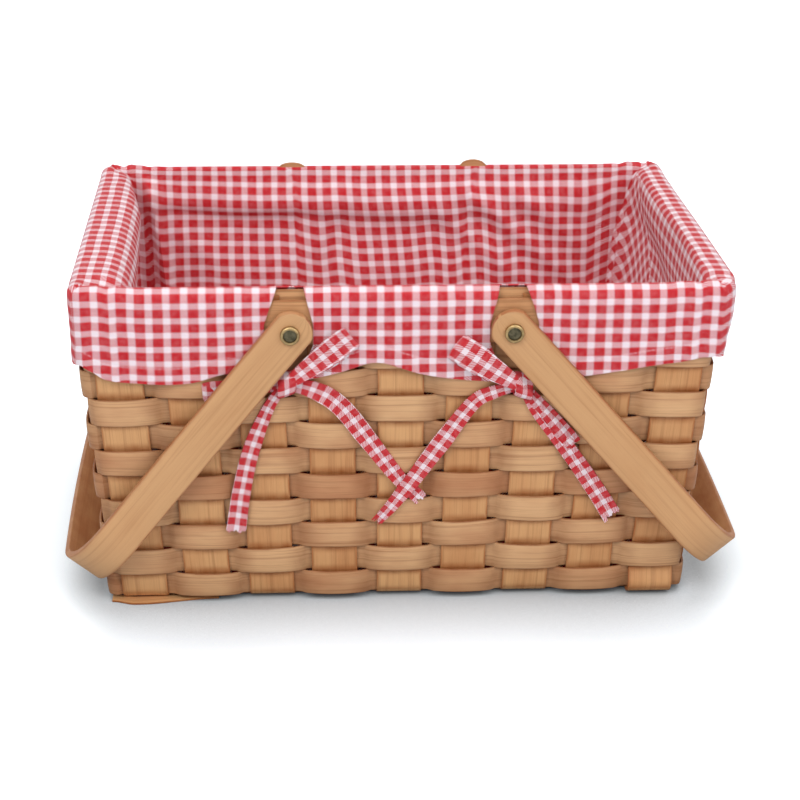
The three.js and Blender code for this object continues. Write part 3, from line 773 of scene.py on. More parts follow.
def long_stake(lane):
    reach = half_length(0) - STAKE_BEND
    columns = [stake_place(i, CROSS_STAKES, half_length(0)) for i in range(CROSS_STAKES)]
    pitch = columns[1] - columns[0]
    level = []
    for x in np.linspace(-reach, reach, 170):
        nearest = min(range(CROSS_STAKES), key=lambda i: abs(columns[i] - x))
        share = min(1.0, abs(x - columns[nearest]) / (pitch / 2))
        wave = BASE_WAVE * math.cos(share * math.pi / 2) ** BASE_FULLNESS
        level.append((x, BASE_LEVEL - weave_side(lane, nearest) * wave))
    left_number = 2 * (CROSS_STAKES + LONG_STAKES) - 1 - lane
    line = stake_line(half_length, level, left_number, CROSS_STAKES + lane)
    name = f"end_to_end_stake_{lane + 1}"
    strip, places = cut_stake(name, line, random.Random(300 + lane), 51 + lane)
    turned = np.column_stack([places[:, 0], -places[:, 2], places[:, 1]])
    turned[:, 1] += stake_place(lane, LONG_STAKES, half_depth(turned[:, 2]))
    finish_strip(strip, turned, "stake_wood", f"long_stake_{lane + 1}")


def rim_band(name, offset, span, seed):
    """A thick band bent round the top of the stakes."""
    chance = random.Random(seed)
    middle = (span[0] + span[1]) / 2
    wall = WallRun(middle)
    start = wall.stake_runs()[SEAM_STAKE]
    runs = np.linspace(start, start + wall.whole, BAND_POINTS)
    points = wall.ring(runs, [offset] * BAND_POINTS)
    tall = span[1] - span[0]
    strip = flat_strip(f"{name}_wood", path_length(points), BAND_THICKNESS, tall, BAND_CUT, BAND_EASING)
    lay_grain(strip, chance.uniform(0.2, 0.6), chance.uniform(0, 3))
    places = bend_round(strip, points, middle)
    if offset < 0:
        high = np.clip((places[:, 2] - middle) / (span[1] - middle), 0, 1) * (places[:, 1] > 0)
        for x, rise in BACK_TABS:
            arch = np.sqrt(np.clip(1 - ((places[:, 0] - x) / TAB_HALF) ** 2, 0, 1))
            places[:, 2] += rise * arch * high
    finish_strip(strip, places, "rim_wood", name)


# Handles and rivets


def handle_rest_angle():
    """How far below level a handle lies when its far edge leans on the end wall."""
    low, high = 0.0, math.pi / 2
    reach = HANDLE_REACH - HANDLE_THICKNESS
    for _ in range(40):
        angle = (low + high) / 2
        edge_x = PIVOT_X + reach * math.cos(angle) - HANDLE_WIDTH / 2 * math.sin(angle)
        edge_z = PIVOT_Z - reach * math.sin(angle) - HANDLE_WIDTH / 2 * math.cos(angle)
        if edge_x > half_length(edge_z) + HANDLE_STAND_OFF:
            low = angle
        else:
            high = angle
    return low


def handle_line():
    """The flat U that a handle is bent along: an arm that splays a little, a round bend, the bar and back."""
    radius = HANDLE_BEND - HANDLE_THICKNESS / 2
    turn_x = HANDLE_REACH - HANDLE_BEND - radius * math.sin(HANDLE_SPLAY)
    bow = math.tan(HANDLE_SPLAY) / (2 * turn_x)
    half = [(x, ARM_MIDDLE + bow * max(x, 0) ** 2) for x in np.linspace(-HANDLE_END, turn_x, 90)]
    middle_x = turn_x + radius * math.sin(HANDLE_SPLAY)
    middle_y = half[-1][1] - radius * math.cos(HANDLE_SPLAY)
    for turn in np.linspace(math.pi / 2 + HANDLE_SPLAY, 0, 26)[1:]:
        half.append((middle_x + radius * math.cos(turn), middle_y + radius * math.sin(turn)))
    bar = [(middle_x + radius, y) for y in np.linspace(-middle_y, middle_y, 50)[1:-1]]
    return [(x, -y) for x, y in half] + bar + half[::-1]


def swing_handle(side, sign):
    """A thick strip steamed to a U, round at its two ends, bored for the rivets."""
    chance = random.Random(400 + sign)
    line = handle_line()
    length = path_length(line)
    name = f"{side}_handle_bent"
    strip = flat_strip(name, length, HANDLE_THICKNESS, HANDLE_WIDTH, HANDLE_CUT, HANDLE_EASING)
    lay_grain(strip, chance.uniform(0.2, 0.6), chance.uniform(0, 3))
    places = places_of(strip)
    # Painted shade on the handle's inner face, carried in the wood's wear and shade share
    write_point_value(strip, "wear_and_shade", ease(places[:, 1], *PAINTED_SHADE_INNER_FACE))
    ending = np.minimum(places[:, 0], length - places[:, 0])
    inset = np.clip(HANDLE_END - ending, 0, HANDLE_END)
    half_width = np.minimum(np.sqrt(np.clip(HANDLE_END ** 2 - inset ** 2, 0, None)), HANDLE_WIDTH / 2)
    places[:, 2] *= np.maximum(half_width, HANDLE_TIP) / (HANDLE_WIDTH / 2)
    set_places(strip, places)
    bend_along(strip, line)
    deselect_all()
    bpy.ops.mesh.primitive_cylinder_add(vertices=ROUND_SIDES, radius=RIVET_BORE, depth=4 * ARM_MIDDLE,
                                        rotation=(math.pi / 2, 0, 0))
    drill = bpy.context.active_object
    apply_modifier(strip, "BOOLEAN", operation="DIFFERENCE", object=drill, solver="EXACT")
    bpy.data.objects.remove(drill)
    places = places_of(strip)
    across = places[:, 1] / ARM_MIDDLE
    in_bar = ease(places[:, 0], 0.6 * HANDLE_REACH, HANDLE_REACH)
    places[:, 0] += HANDLE_BAR_BOW * in_bar * np.clip(1 - across ** 2, 0, 1)
    lift = HANDLE_TWIST[side] * np.clip((across * sign + 1) / 2, 0, 1)
    x, z = places[:, 0].copy(), places[:, 2].copy()
    places[:, 0] = x * np.cos(lift) - z * np.sin(lift)
    places[:, 2] = x * np.sin(lift) + z * np.cos(lift)
    set_places(strip, places)
    turn = Matrix.Rotation(handle_rest_angle() - HANDLE_LIFT[side], 4, "Y")
    place = Matrix.Translation((sign * PIVOT_X, 0, PIVOT_Z))
    if sign < 0:
        place = place @ Matrix.Rotation(math.pi, 4, "Z")
    strip.data.transform(place @ turn)
    smooth(strip, HANDLE_SMOOTH)
    settle(strip, f"handle_{side}", "handle_wood", f"{side}_handle")


def rivet_turned():
    """A tubular rivet on the Z axis: shank, rolled head and dark hollow, head upwards, seat at zero."""
    near = 0.1 * MM
    deselect_all()
    bpy.ops.mesh.primitive_cylinder_add(vertices=ROUND_SIDES, radius=RIVET_HEAD, depth=RIVET_HEIGHT,
                                        location=(0, 0, RIVET_HEIGHT / 2))
    rivet = name_new("rivet")
    bpy.ops.object.transform_apply(location=True, rotation=True, scale=True)

    def is_rim(one, other):
        return min(one.z, other.z) > RIVET_HEIGHT - near and one.xy.length > RIVET_HEAD - near

    choose(rivet, "EDGE", is_rim)
    bpy.ops.mesh.bevel(offset=RIVET_ROLL, segments=5, affect="EDGES")
    finish_edit()
    choose(rivet, "FACE", lambda centre, normal: normal.z > 0.9 and centre.xy.length < near)
    for thickness, depth in RIVET_STEPS:
        bpy.ops.mesh.inset(thickness=thickness, depth=depth)
    finish_edit()
    choose(rivet, "FACE", lambda centre, normal: normal.z < -0.9)
    bpy.ops.mesh.inset(thickness=RIVET_HEAD - RIVET_SHANK)
    bpy.ops.mesh.extrude_region_move(TRANSFORM_OT_translate={"value": (0, 0, -RIVET_LENGTH)})
    finish_edit()
    rivet.data.materials.append(finishes["brass"])
    rivet.data.materials.append(hollow_brass)
    for face in rivet.data.polygons:
        if face.center.xy.length < RIVET_HOLLOW - near and 0 < face.center.z < 1.9 * MM:
            face.material_index = 1
    smooth(rivet, SHARP_ANGLE)
    return rivet


def pivot_rivets():
    """The turned rivet is copied to the four pivots."""
    model = rivet_turned()
    seat = ARM_INNER + HANDLE_THICKNESS + RIVET_CLEARANCE
    for face, face_sign in (("front", -1), ("back", 1)):
        for side, sign in (("left", -1), ("right", 1)):
            name = f"rivet_{face}_{side}"
            rivet = link_new(f"{name}_turned", model.data.copy())
            rivet.data.name = rivet.name
            turn = Matrix.Rotation(math.pi / 2 * -face_sign, 4, "X")
            place = Matrix.Translation((MIDDLE_X + sign * PIVOT_X, face_sign * seat, PIVOT_Z))
            rivet.data.transform(place @ turn)
            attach(rivet, "basket")
            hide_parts(name)
            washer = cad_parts[f"washer_{face}_{side}"]
            washer.data.materials.clear()
            washer.data.materials.append(finishes["brass"])
    bpy.data.objects.remove(model)


# The cloth liner

CORNER_COLUMNS = 42
NOTCH_COLUMNS = 6
MIDDLE_COLUMNS = 32
END_COLUMNS = 56
TURN_COLUMNS = 8
NOTCH_INSIDE = 9 * MM
NOTCH_FADE = 45 * MM
SKIRT_STRAIGHT = 178 * MM
SIDE_STRAIGHT = 116.5 * MM
SKIRT_TOP = 192 * MM
SKIRT_OFF = 4.3 * MM
SKIRT_STEPS = 11
SHARP_CORNER = 2.5 * MM
BAG_OFF = 4.5 * MM
BAG_CORNER = 15 * MM
CREASED_CORNER = 4 * MM
BAG_FLOOR = 5.7 * MM
BAG_FOOT = 7.9 * MM
BAG_DROP = 184
BAG_RINGS = 64
GUSSET_STARTS = (92 * MM, 22 * MM)
GUSSET_ROWS = (5, 36)
GUSSET_DEPTH = 13
GUSSET_END = 30
HEM_STEPS = [x * MM for x in (0, 0.7, 1.8, 4.2, 6.8, 8.8, 9.6, 10.4, 12.6)]
# Out from the wall and up, in millimetres, over the rim of a long wall and of an end
RIM_PROFILE = [(4.2, 193.8), (3.7, 195.3), (2.6, 196.8), (1.0, 198.2), (-0.8, 199.3), (-2.5, 199.5),
               (-3.8, 198.9), (-4.5, 197.6)]
END_RIM_PROFILE = [(4.6, 194.6), (4.4, 196.6), (3.4, 198.3), (1.8, 199.3), (0.0, 199.7), (-1.8, 199.8),
                   (-3.4, 199.8), (-4.5, 199.7)]
CREST_RING = len(HEM_STEPS) + SKIRT_STEPS + 4
LAST_OPEN_RING = len(HEM_STEPS) + SKIRT_STEPS + len(RIM_PROFILE) - 3
# Inset and height of the rings of the floor, and how many of them still turn from the wall
FLOOR_TURN = [(1.5, 10.5), (4.5, 7.6), (10, 6.1)] + [(inset, 5.7) for inset in (20, 36, 54, 72, 88, 100)]
FLOOR_TURN_RINGS = 2
FAR_FROM_HEM = 1.0

# Height of the hem along the front, the back and an end, in millimetres, as the cloth hangs
FRONT_HEM = ([-185, -181, -171, -160, -143, -126, -117, -110, -100, -86, -72, -60, -50, -41, -29, -15, -1, 11,
              22, 34, 51, 70, 101, 114, 126, 143, 160, 174, 183],
             [156.5, 152, 146.5, 144.7, 143.6, 143.7, 144.8, 147.8, 150.3, 147.5, 143.8, 143.3, 145, 147.5,
              151.1, 157.1, 152.6, 148.1, 145.8, 144.1, 142.2, 142.5, 145.1, 146.2, 148.5, 151.4, 153.7, 156,
              158])
BACK_HEM = ([-185, -150, -110, -74, -58, -30, 5, 34, 58, 74, 100, 140, 185],
            [152, 147, 145, 143.2, 142.8, 150, 155, 149, 142.8, 143.2, 146, 148, 153])
END_HEM = ([-122, -85, -36, 12, 60, 122], [154, 148.5, 150.5, 147.5, 150, 152.5])
# The hem of each wall, the way it is walked and where it ends
WALL_HEMS = {FRONT: (FRONT_HEM, 1, 185), RIGHT: (END_HEM, 1, 122), BACK: (BACK_HEM, -1, 185),
             LEFT: (END_HEM, -1, 122)}

# Edges of the notch for a handle, left and right of the pivot, by height in millimetres
NOTCH_HEIGHTS = [141, 148, 156, 167, 179, 189.5, 199.5]
NOTCH_NEAR_CORNER = [-6.2, -8.5, -11.5, -15, -15, -11.4, -7.2]
NOTCH_NEAR_MIDDLE = [-0.8, 3.5, 8, 12.6, 12.8, 10.4, 8]

# How far in and how far under the rim the roll of cloth at an end stands, in millimetres, from front to back
LEFT_ROLL = (([-116, -60, 50, 116], [25, 24, 20, 9]), ([-116, 0, 60, 116], [20, 16, 11, 5]))
RIGHT_ROLL = (([-116, -25, 40, 116], [6, 4, 8, 8]), ([-116, -34, 20, 90], [30, 24, 14, 8]))
RIGHT_BULGE = ([-116.5, -100, -17, 61, 116.5], [3.0, 5.0, 3.2, 1.0, 0.0])

# Soft folds inside the long walls, in millimetres: two ends along the wall and down it, spread and height
BACK_FOLDS = [((58, 12), (163, 85), 5, 4.5), ((90, 10), (168, 62), 5, 3.5), ((30, 20), (140, 96), 6, 3.0),
              ((-30, 8), (-52, 60), 9, 4.0), ((-158, 36), (-120, 62), 6, 4.0)]
FRONT_FOLDS = [((-40, 14), (-128, 92), 8, 5.0)]


def spaced(stops, counts):
    """Places between the stops, each gap split evenly."""
    places = [stops[0]]
    for start, end, count in zip(stops, stops[1:], counts):
        places += list(np.linspace(start, end, count + 1)[1:])
    return np.array(places)


class LinerColumns:
    """The upright threads round the rim, walked from the front left corner: straight walls and corners."""

    def __init__(self):
        near, far = PIVOT_X - NOTCH_INSIDE, PIVOT_X + NOTCH_INSIDE
        counts = [CORNER_COLUMNS, NOTCH_COLUMNS, MIDDLE_COLUMNS, NOTCH_COLUMNS, CORNER_COLUMNS]
        front = spaced([-SKIRT_STRAIGHT, -far, -near, near, far, SKIRT_STRAIGHT], counts)
        side = spaced([-SIDE_STRAIGHT, SIDE_STRAIGHT], [END_COLUMNS])
        turn = np.linspace(0, 1, TURN_COLUMNS + 1)
        wall, place = [], []
        for number, run in enumerate((front, turn, side, turn, front, turn, side, turn)):
            wall += [number] * (len(run) - 1)
            place += list(run[:-1])
        self.wall = np.array(wall + [FRONT])
        self.place = np.array(place + [front[0]])
        self.count = len(self.wall)
        self.is_long = np.isin(self.wall, (FRONT, BACK))
        self.is_end = np.isin(self.wall, (RIGHT, LEFT))
        self.is_corner = self.wall % 2 == 1
        self.starts = [int(np.argmax(self.wall == number)) for number in range(8)]
        self.notches = []
        for number in (FRONT, BACK):
            for skip in (CORNER_COLUMNS, CORNER_COLUMNS + NOTCH_COLUMNS + MIDDLE_COLUMNS):
                first = self.starts[number] + skip
                self.notches.append((first, first + NOTCH_COLUMNS))


def notch_edges(z, sign):
    """How far left and right of the pivot the notch opens at a height."""
    corner_side = np.interp(z / MM, NOTCH_HEIGHTS, NOTCH_NEAR_CORNER) * MM
    middle_side = np.interp(z / MM, NOTCH_HEIGHTS, NOTCH_NEAR_MIDDLE) * MM
    return (corner_side, middle_side) if sign < 0 else (-middle_side, -corner_side)


def open_notch(x, z):
    """Draws the cloth aside at the two pivots."""
    moved = x.copy()
    for sign in (-1, 1):
        left, right = notch_edges(z, sign)
        gap = x - sign * PIVOT_X
        fade = np.clip(1 - (np.abs(gap) - NOTCH_INSIDE) / NOTCH_FADE, 0, 1)
        moved += np.where(gap > 0, right - NOTCH_INSIDE, left + NOTCH_INSIDE) * fade
    return moved


def outline(columns, half_x, half_y, radius):
    """Points, outward directions and places along the walls of one ring of the liner."""
    count = columns.count
    half_x, half_y, radius = (np.broadcast_to(size, count) for size in (half_x, half_y, radius))
    straight_x, straight_y = half_x - radius, half_y - radius
    run_x = columns.place / SKIRT_STRAIGHT * straight_x
    run_y = columns.place / SIDE_STRAIGHT * straight_y
    points, normals = np.zeros((count, 2)), np.zeros((count, 2))
    before, after = np.zeros(count), np.zeros(count)
    corners = {FRONT_RIGHT: (1, -1), BACK_RIGHT: (1, 1), BACK_LEFT: (-1, 1), FRONT_LEFT: (-1, -1)}
    for number in range(8):
        here = columns.wall == number
        sign = 1 if number in (FRONT, RIGHT) else -1
        if number in (FRONT, BACK):
            points[here] = np.column_stack([sign * run_x, -sign * half_y])[here]
            normals[here] = (0, -sign)
            before[here] = after[here] = run_x[here]
        elif number in (RIGHT, LEFT):
            points[here] = np.column_stack([sign * half_x, sign * run_y])[here]
            normals[here] = (sign, 0)
            before[here] = after[here] = run_y[here]
        else:
            corner = corners[number]
            turn = (number // 2 - 1) * math.pi / 2 + columns.place * math.pi / 2
            out = np.column_stack([np.cos(turn), np.sin(turn)])
            middle = np.column_stack([corner[0] * straight_x, corner[1] * straight_y])
            points[here] = (middle + radius[:, None] * out)[here]
            normals[here] = out[here]
            gone = columns.place * math.pi / 2 * radius
            ending, starting = straight_x, straight_y
            if number in (BACK_RIGHT, FRONT_LEFT):
                ending, starting = straight_y, straight_x
            before[here] = (ending + gone)[here]
            after[here] = (-starting - (math.pi / 2 * radius - gone))[here]
    return points, normals, before, after


def wall_share(columns):
    """-1 to 1 along each wall, held at the corners."""
    share = np.where(columns.is_long, columns.place / SKIRT_STRAIGHT, columns.place / SIDE_STRAIGHT)
    return np.where(columns.is_corner, 1.0, share)


def ridge(x, w, start, end, spread, height):
    """A soft fold along a line on the inside of a wall, x along the wall and w down from the rim."""
    (x0, w0), (x1, w1) = start, end
    length = math.hypot(x1 - x0, w1 - w0)
    along = ((x - x0) * (x1 - x0) + (w - w0) * (w1 - w0)) / length
    aside = ((x - x0) * (w1 - w0) - (w - w0) * (x1 - x0)) / length
    inside = ease(along, -0.15 * length, 0.2 * length) * (1 - ease(along, 0.75 * length, 1.1 * length))
    return height * np.exp(-((aside / spread) ** 2)) * inside


def end_profile(is_left, y):
    """Inward run and drop of the cloth inside an end: over a soft roll, back under it and down."""
    edge_in, edge_drop = (np.interp(y, *line) for line in (LEFT_ROLL if is_left else RIGHT_ROLL))
    turn = np.linspace(0, math.pi / 2, 22)
    inward = list(edge_in * np.sin(turn) ** 0.8)
    drop = list(edge_drop * (1 - np.cos(turn)) ** 1.35)
    foot_in = 5 if is_left else 1
    for share in np.linspace(0, 1, 12)[1:]:
        inward.append(edge_in + (foot_in - edge_in) * float(ease(share, 0, 1)))
        drop.append(edge_drop + 30 * share)
    inward.append(foot_in + 5)
    drop.append(BAG_DROP)
    run = gone_along(np.column_stack([inward, drop]))
    even = np.linspace(0, run[-1], BAG_RINGS + 1)[1:]
    return np.interp(even, run, inward), np.interp(even, run, drop)


def long_profile(x, w, is_back):
    """The cloth inside a long wall stands off, with a crease under the rim and soft folds, in millimetres."""
    crease = np.interp(x, [-150, -110, -63, -22, 25, 120], [27, 30, 29, 32, 33, 30])
    sharp = 1 - 0.5 * ease(x, -78, -45) - 0.3 * ease(x, 10, 90)
    inward = 9.5 * ease(w, 0, 22) - 8.5 * sharp * ease(w, crease - 5, crease + 1.5)
    inward += (3 + 6 * sharp) * ease(w, crease + 3, crease + 40) - 6 * ease(w, 115, BAG_DROP)
    inward += 1.1 * np.sin(x / 15 + w / 40) * ease(w, 5, 30)
    for fold in BACK_FOLDS if is_back else FRONT_FOLDS:
        inward += ridge(x, w, *fold)
    return inward


def corner_pleat(x, w):
    """An upright pleat next to the back left corner, with a deep hollow beside it."""
    upright = 9 * bump(x, -166 + 5 * ease(w, 10, 50), 5) - 0.3 * bump(x, -177, 4)
    return upright * ease(w, 1, 16) * (1 - 0.6 * ease(w, 60, 150))


def check_drift(x, drop):
    held = ease(162 - np.abs(x), 0, 28)
    along = 0.1 * (drop - 14) * bump(x, 15, 75) * ease(drop, 5, 40)
    down = -3.5 * bump(x, -8, 85) * ease(drop, 15, 55)
    down -= 0.075 * (x - 48) * ease(x, 48, 85) * ease(drop, 6, 40)
    return along * held, down * held


def towards_end(columns):
    """0 on the long walls, 1 on the ends, and between them round the corners."""
    share = np.abs(wall_share(columns))
    turned = np.where(np.isin(columns.wall, (FRONT_RIGHT, BACK_LEFT)), columns.place, 1 - columns.place)
    amount = np.where(columns.is_long, 0.3 * ease(share, 0.86, 1), 1 - 0.3 * ease(share, 0.84, 1))
    return np.where(columns.is_corner, 0.3 + 0.4 * turned, amount)


def corner_pucker(columns):
    """Small gathers of cloth on the rim next to the corners."""
    near = np.where(columns.is_corner, 1.0, ease(np.abs(wall_share(columns)), 0.8, 0.97))
    count = np.arange(columns.count)
    gathers = 1.3 + 0.9 * np.sin(count * 0.9) + 0.6 * np.sin(count * 1.9 + 1.0)
    return near * gathers * 0.8 * MM


def bag_corners(columns):
    """Radius of the corners inside the bag: the back ones are creased, the front ones are round."""
    along_end = (columns.place / SIDE_STRAIGHT + 1) / 2
    creased = np.where(np.isin(columns.wall, (BACK_RIGHT, BACK, BACK_LEFT)), 1.0, 0.0)
    creased = np.where(columns.wall == RIGHT, along_end, creased)
    creased = np.where(columns.wall == LEFT, 1 - along_end, creased)
    return BAG_CORNER + (CREASED_CORNER - BAG_CORNER) * creased


def bag_shape(columns):
    """Inward run from the walls and drop under the rim of every ring of the bag, for each upright thread."""
    even = np.linspace(0, BAG_DROP, BAG_RINGS + 1)[1:]
    size = (BAG_RINGS, columns.count)
    inward, drop, end_inward = np.zeros(size), np.zeros(size), np.zeros(size)
    free = np.clip(1 - wall_share(columns) ** 2, 0, 1) ** 0.6
    to_end = towards_end(columns)
    reach = SIDE_STRAIGHT / MM
    for column in range(columns.count):
        wall, place = columns.wall[column], columns.place[column] / MM
        is_left = wall in (BACK_LEFT, LEFT, FRONT_LEFT)
        y = -reach if wall in (FRONT_LEFT, FRONT, FRONT_RIGHT) else reach
        ripple = 0
        if columns.is_long[column]:
            x = place if wall == FRONT else -place
            is_left = x < 0
            inward[:, column] = long_profile(np.full(BAG_RINGS, x), even, wall == BACK) * free[column]
            if wall == BACK:
                inward[:, column] += corner_pleat(x, even)
        elif columns.is_end[column]:
            y = place if wall == RIGHT else -place
            ripple = 0.9 * np.sin(y / 13 + even / 22) * ease(even, 25, 60) * free[column]
        ends_in, ends_drop = end_profile(is_left, y)
        if not is_left:
            round_corner = 1 - math.sqrt(1 - (max(y - GUSSET_END, 0) / (reach - GUSSET_END)) ** 2)
            ends_in = ends_in + GUSSET_DEPTH * round_corner * ease(ends_drop, 4, 45)
        end_inward[:, column] = ends_in + ripple
        drop[:, column] = even * (1 - to_end[column]) + ends_drop * to_end[column]
    return inward * MM, end_inward * MM, drop * MM


def skirt_swell(columns, rise):
    """How far the skirt stands off, more at its foot and in soft waves on the ends."""
    low = 1 - ease(rise, 0, 48 * MM)
    place = columns.place / MM
    waves = 0.45 * np.sin(place / 11 + 0.8) + 0.35 * np.sin(place / 5.3 + 2.0)
    long_wall = 0.35 + 0.35 * low + waves * low * 0.8
    end = 0.8 + 3.2 * low + 1.7 * np.sin(place / 9 + 0.7) * low
    corner = 0.3 + 1.2 * low
    share = np.clip(1 - wall_share(columns) ** 8, 0, 1)
    off_long = np.where(columns.is_end, corner + (end - corner) * share, corner)
    return np.where(columns.is_long, long_wall, off_long) * MM


def end_bulge(columns):
    """The cloth stands a little off the right end, most towards the front."""
    amount = np.where(columns.wall == RIGHT, np.interp(columns.place / MM, *RIGHT_BULGE), 0)
    return np.where(columns.wall == FRONT_RIGHT, RIGHT_BULGE[1][0] * columns.place ** 2, amount) * MM


def hem_heights(columns):
    """The hem is drawn on the walls and runs straight across the corners, then it is smoothed."""
    hem = np.zeros(columns.count)
    for number in range(8):
        here = columns.wall == number
        if number in WALL_HEMS:
            line, way, _ = WALL_HEMS[number]
            hem[here] = np.interp(way * columns.place[here] / MM, *line)
        else:
            line, way, end = WALL_HEMS[number - 1]
            start = np.interp(way * end, *line)
            line, way, end = WALL_HEMS[(number + 1) % 8]
            stop = np.interp(-way * end, *line)
            hem[here] = start + (stop - start) * columns.place[here]
    kernel = np.ones(5) / 5
    return np.convolve(np.concatenate([hem[-3:-1], hem, hem[1:3]]), kernel, "valid") * MM


def outside_ring(columns, z, off, rise):
    """A ring of the skirt or the rim, drawn aside at the pivots."""
    off = off + end_bulge(columns) * ease(z, 150 * MM, 185 * MM) * ease(off, -3 * MM, 2 * MM)
    radius = np.maximum(WALL_CORNER + np.minimum(off, 6 * MM), SHARP_CORNER)
    points, _, before, after = outline(columns, half_length(z) + off, half_depth(z) + off, radius)
    if np.all(off > -4.2 * MM):
        points[:, 0] = np.where(columns.is_long, open_notch(points[:, 0], z), points[:, 0])
    turned = np.where(columns.wall == BACK, -points[:, 0], points[:, 0])
    before = np.where(columns.is_long, turned, before)
    after = np.where(columns.is_long, turned, after)
    return np.column_stack([points, z]), before, after, rise


def skirt_rings(columns):
    """From the folded hem up to the rim."""
    hem = hem_heights(columns)
    top = hem + HEM_STEPS[-1]
    heights = [hem + rise for rise in HEM_STEPS]
    for share in np.arange(1, SKIRT_STEPS + 1) / SKIRT_STEPS:
        heights.append(top * (1 - share) + SKIRT_TOP * share)
    rings = []
    for z in heights:
        rise = z - hem
        thick = 0.35 * MM * (1 - ease(rise, 9.2 * MM, 10.6 * MM))
        pressed = 0.3 * MM * bump(rise, HEM_FOLD, 0.7 * MM)
        off = SKIRT_OFF + skirt_swell(columns, rise) + thick - pressed
        rings.append(outside_ring(columns, z, off, rise))
    return rings


def rim_rings(columns):
    """Over the rim bands, with small gathers at the corners."""
    to_end = towards_end(columns)
    pucker = corner_pucker(columns)
    rings = []
    for number, ((off, z), (end_off, end_z)) in enumerate(zip(RIM_PROFILE, END_RIM_PROFILE)):
        rise = pucker * math.sin((number + 1) / 9 * math.pi)
        height = (z + (end_z - z) * to_end) * MM + rise
        rings.append(outside_ring(columns, height, (off + (end_off - off) * to_end) * MM, FAR_FROM_HEM))
    return rings


def bag_rings(columns):
    """Down the inside and over the floor to a line in its middle."""
    inward, end_inward, drop = bag_shape(columns)
    corners = bag_corners(columns)
    top, end_top = RIM_PROFILE[-1][1], END_RIM_PROFILE[-1][1]
    rim = (top + (end_top - top) * towards_end(columns)) * MM
    rings = []
    for number in range(BAG_RINGS):
        z = rim + (BAG_FLOOR + BAG_FOOT - rim + BAG_DROP * MM) * number / (BAG_RINGS - 1) - drop[number]
        half_x = half_length(z) - BAG_OFF - end_inward[number]
        radius = SHARP_CORNER + (corners - SHARP_CORNER) * float(ease(number, 2, 14))
        points, normals, before, after = outline(columns, half_x, half_depth(z) - BAG_OFF, radius)
        points = points - normals * inward[number][:, None]
        rings.append((np.column_stack([points, z]), before, after, FAR_FROM_HEM))
    for inset, height in FLOOR_TURN:
        z = np.full(columns.count, height * MM)
        half_x = half_length(z) - BAG_OFF - end_inward[-1] - inset * MM
        half_y = half_depth(z) - BAG_OFF - 3 * MM - inset * MM
        radius = np.maximum(1.5 * MM, corners - inset * MM)
        points, _, before, after = outline(columns, half_x, half_y, radius)
        rings.append((np.column_stack([points, z]), before, after, FAR_FROM_HEM))
    points, _, before, after = outline(columns, half_length(0) - half_depth(0), 0.0, 0.0)
    rings.append((np.column_stack([points, np.full(columns.count, BAG_FLOOR)]), before, after, FAR_FROM_HEM))
    return rings


def liner_pattern(columns, shape, before, after, corner_column, corner_row):
    """Places in the check: straight down each wall, turned in the gusset, along the basket on the floor."""
    spot = (corner_row, corner_column)
    down = np.zeros(shape.shape[:2])
    down[1:] = np.cumsum(np.linalg.norm(np.diff(shape, axis=0), axis=2), axis=0)
    drop = (down - down[CREST_RING])[spot]
    face_column, face_row = (np.repeat(line.reshape(-1, 4).min(1), 4) for line in (corner_column, corner_row))
    starts = np.array(columns.starts + [columns.count - 1])
    wall = np.searchsorted(starts, face_column, side="right") - 1
    past_half = face_column - starts[wall] >= TURN_COLUMNS / 2
    late = (wall == BACK_RIGHT) | (np.isin(wall, (FRONT_RIGHT, FRONT_LEFT)) & past_half)
    is_next = corner_column == starts[wall + 1]
    nexts = np.where(corner_column == columns.count - 1, 0, corner_column)
    beyond = 2 * before[corner_row, corner_column - 1] - before[corner_row, corner_column - 2]
    along = np.where(late, after[spot], before[spot])
    along = np.where(late & is_next, after[corner_row, nexts], along)
    along = np.where((wall == BACK_LEFT) & is_next, beyond, along)
    run = np.where((wall == BACK_RIGHT) & is_next, beyond, before[spot])
    laid = shape[spot]
    pulled_along, pulled_down = check_drift(laid[:, 0] / MM, np.clip(drop / MM, 0, 150))
    on_back = (wall == BACK) & (face_row >= CREST_RING)
    along = along + np.where(on_back, pulled_along, 0) * MM
    drop = drop + np.where(on_back, pulled_down, 0) * MM
    below = face_row - CREST_RING
    in_bag = (below > 3) & (face_row < len(shape) - len(FLOOR_TURN) - 1)
    past_start = columns.place[face_column] > np.interp(below, GUSSET_ROWS, GUSSET_STARTS)
    in_gusset = (wall == RIGHT) & past_start & (below > GUSSET_ROWS[0])
    bias = in_bag & ((wall == BACK_RIGHT) | in_gusset)
    turned_along = np.where(bias, (run + drop) * math.sqrt(0.5), along)
    turned_drop = np.where(bias, (drop - run) * math.sqrt(0.5), drop)
    hung_from = np.where(wall % 2 == 1, np.where(late, wall + 1, wall - 1), wall) % 8
    on_floor = face_row >= len(shape) - len(FLOOR_TURN) + FLOOR_TURN_RINGS - 1
    turned_along = np.where(on_floor, laid[:, 0], turned_along + hung_from * 3.7 * MM)
    return turned_along, np.where(on_floor, laid[:, 1], turned_drop)


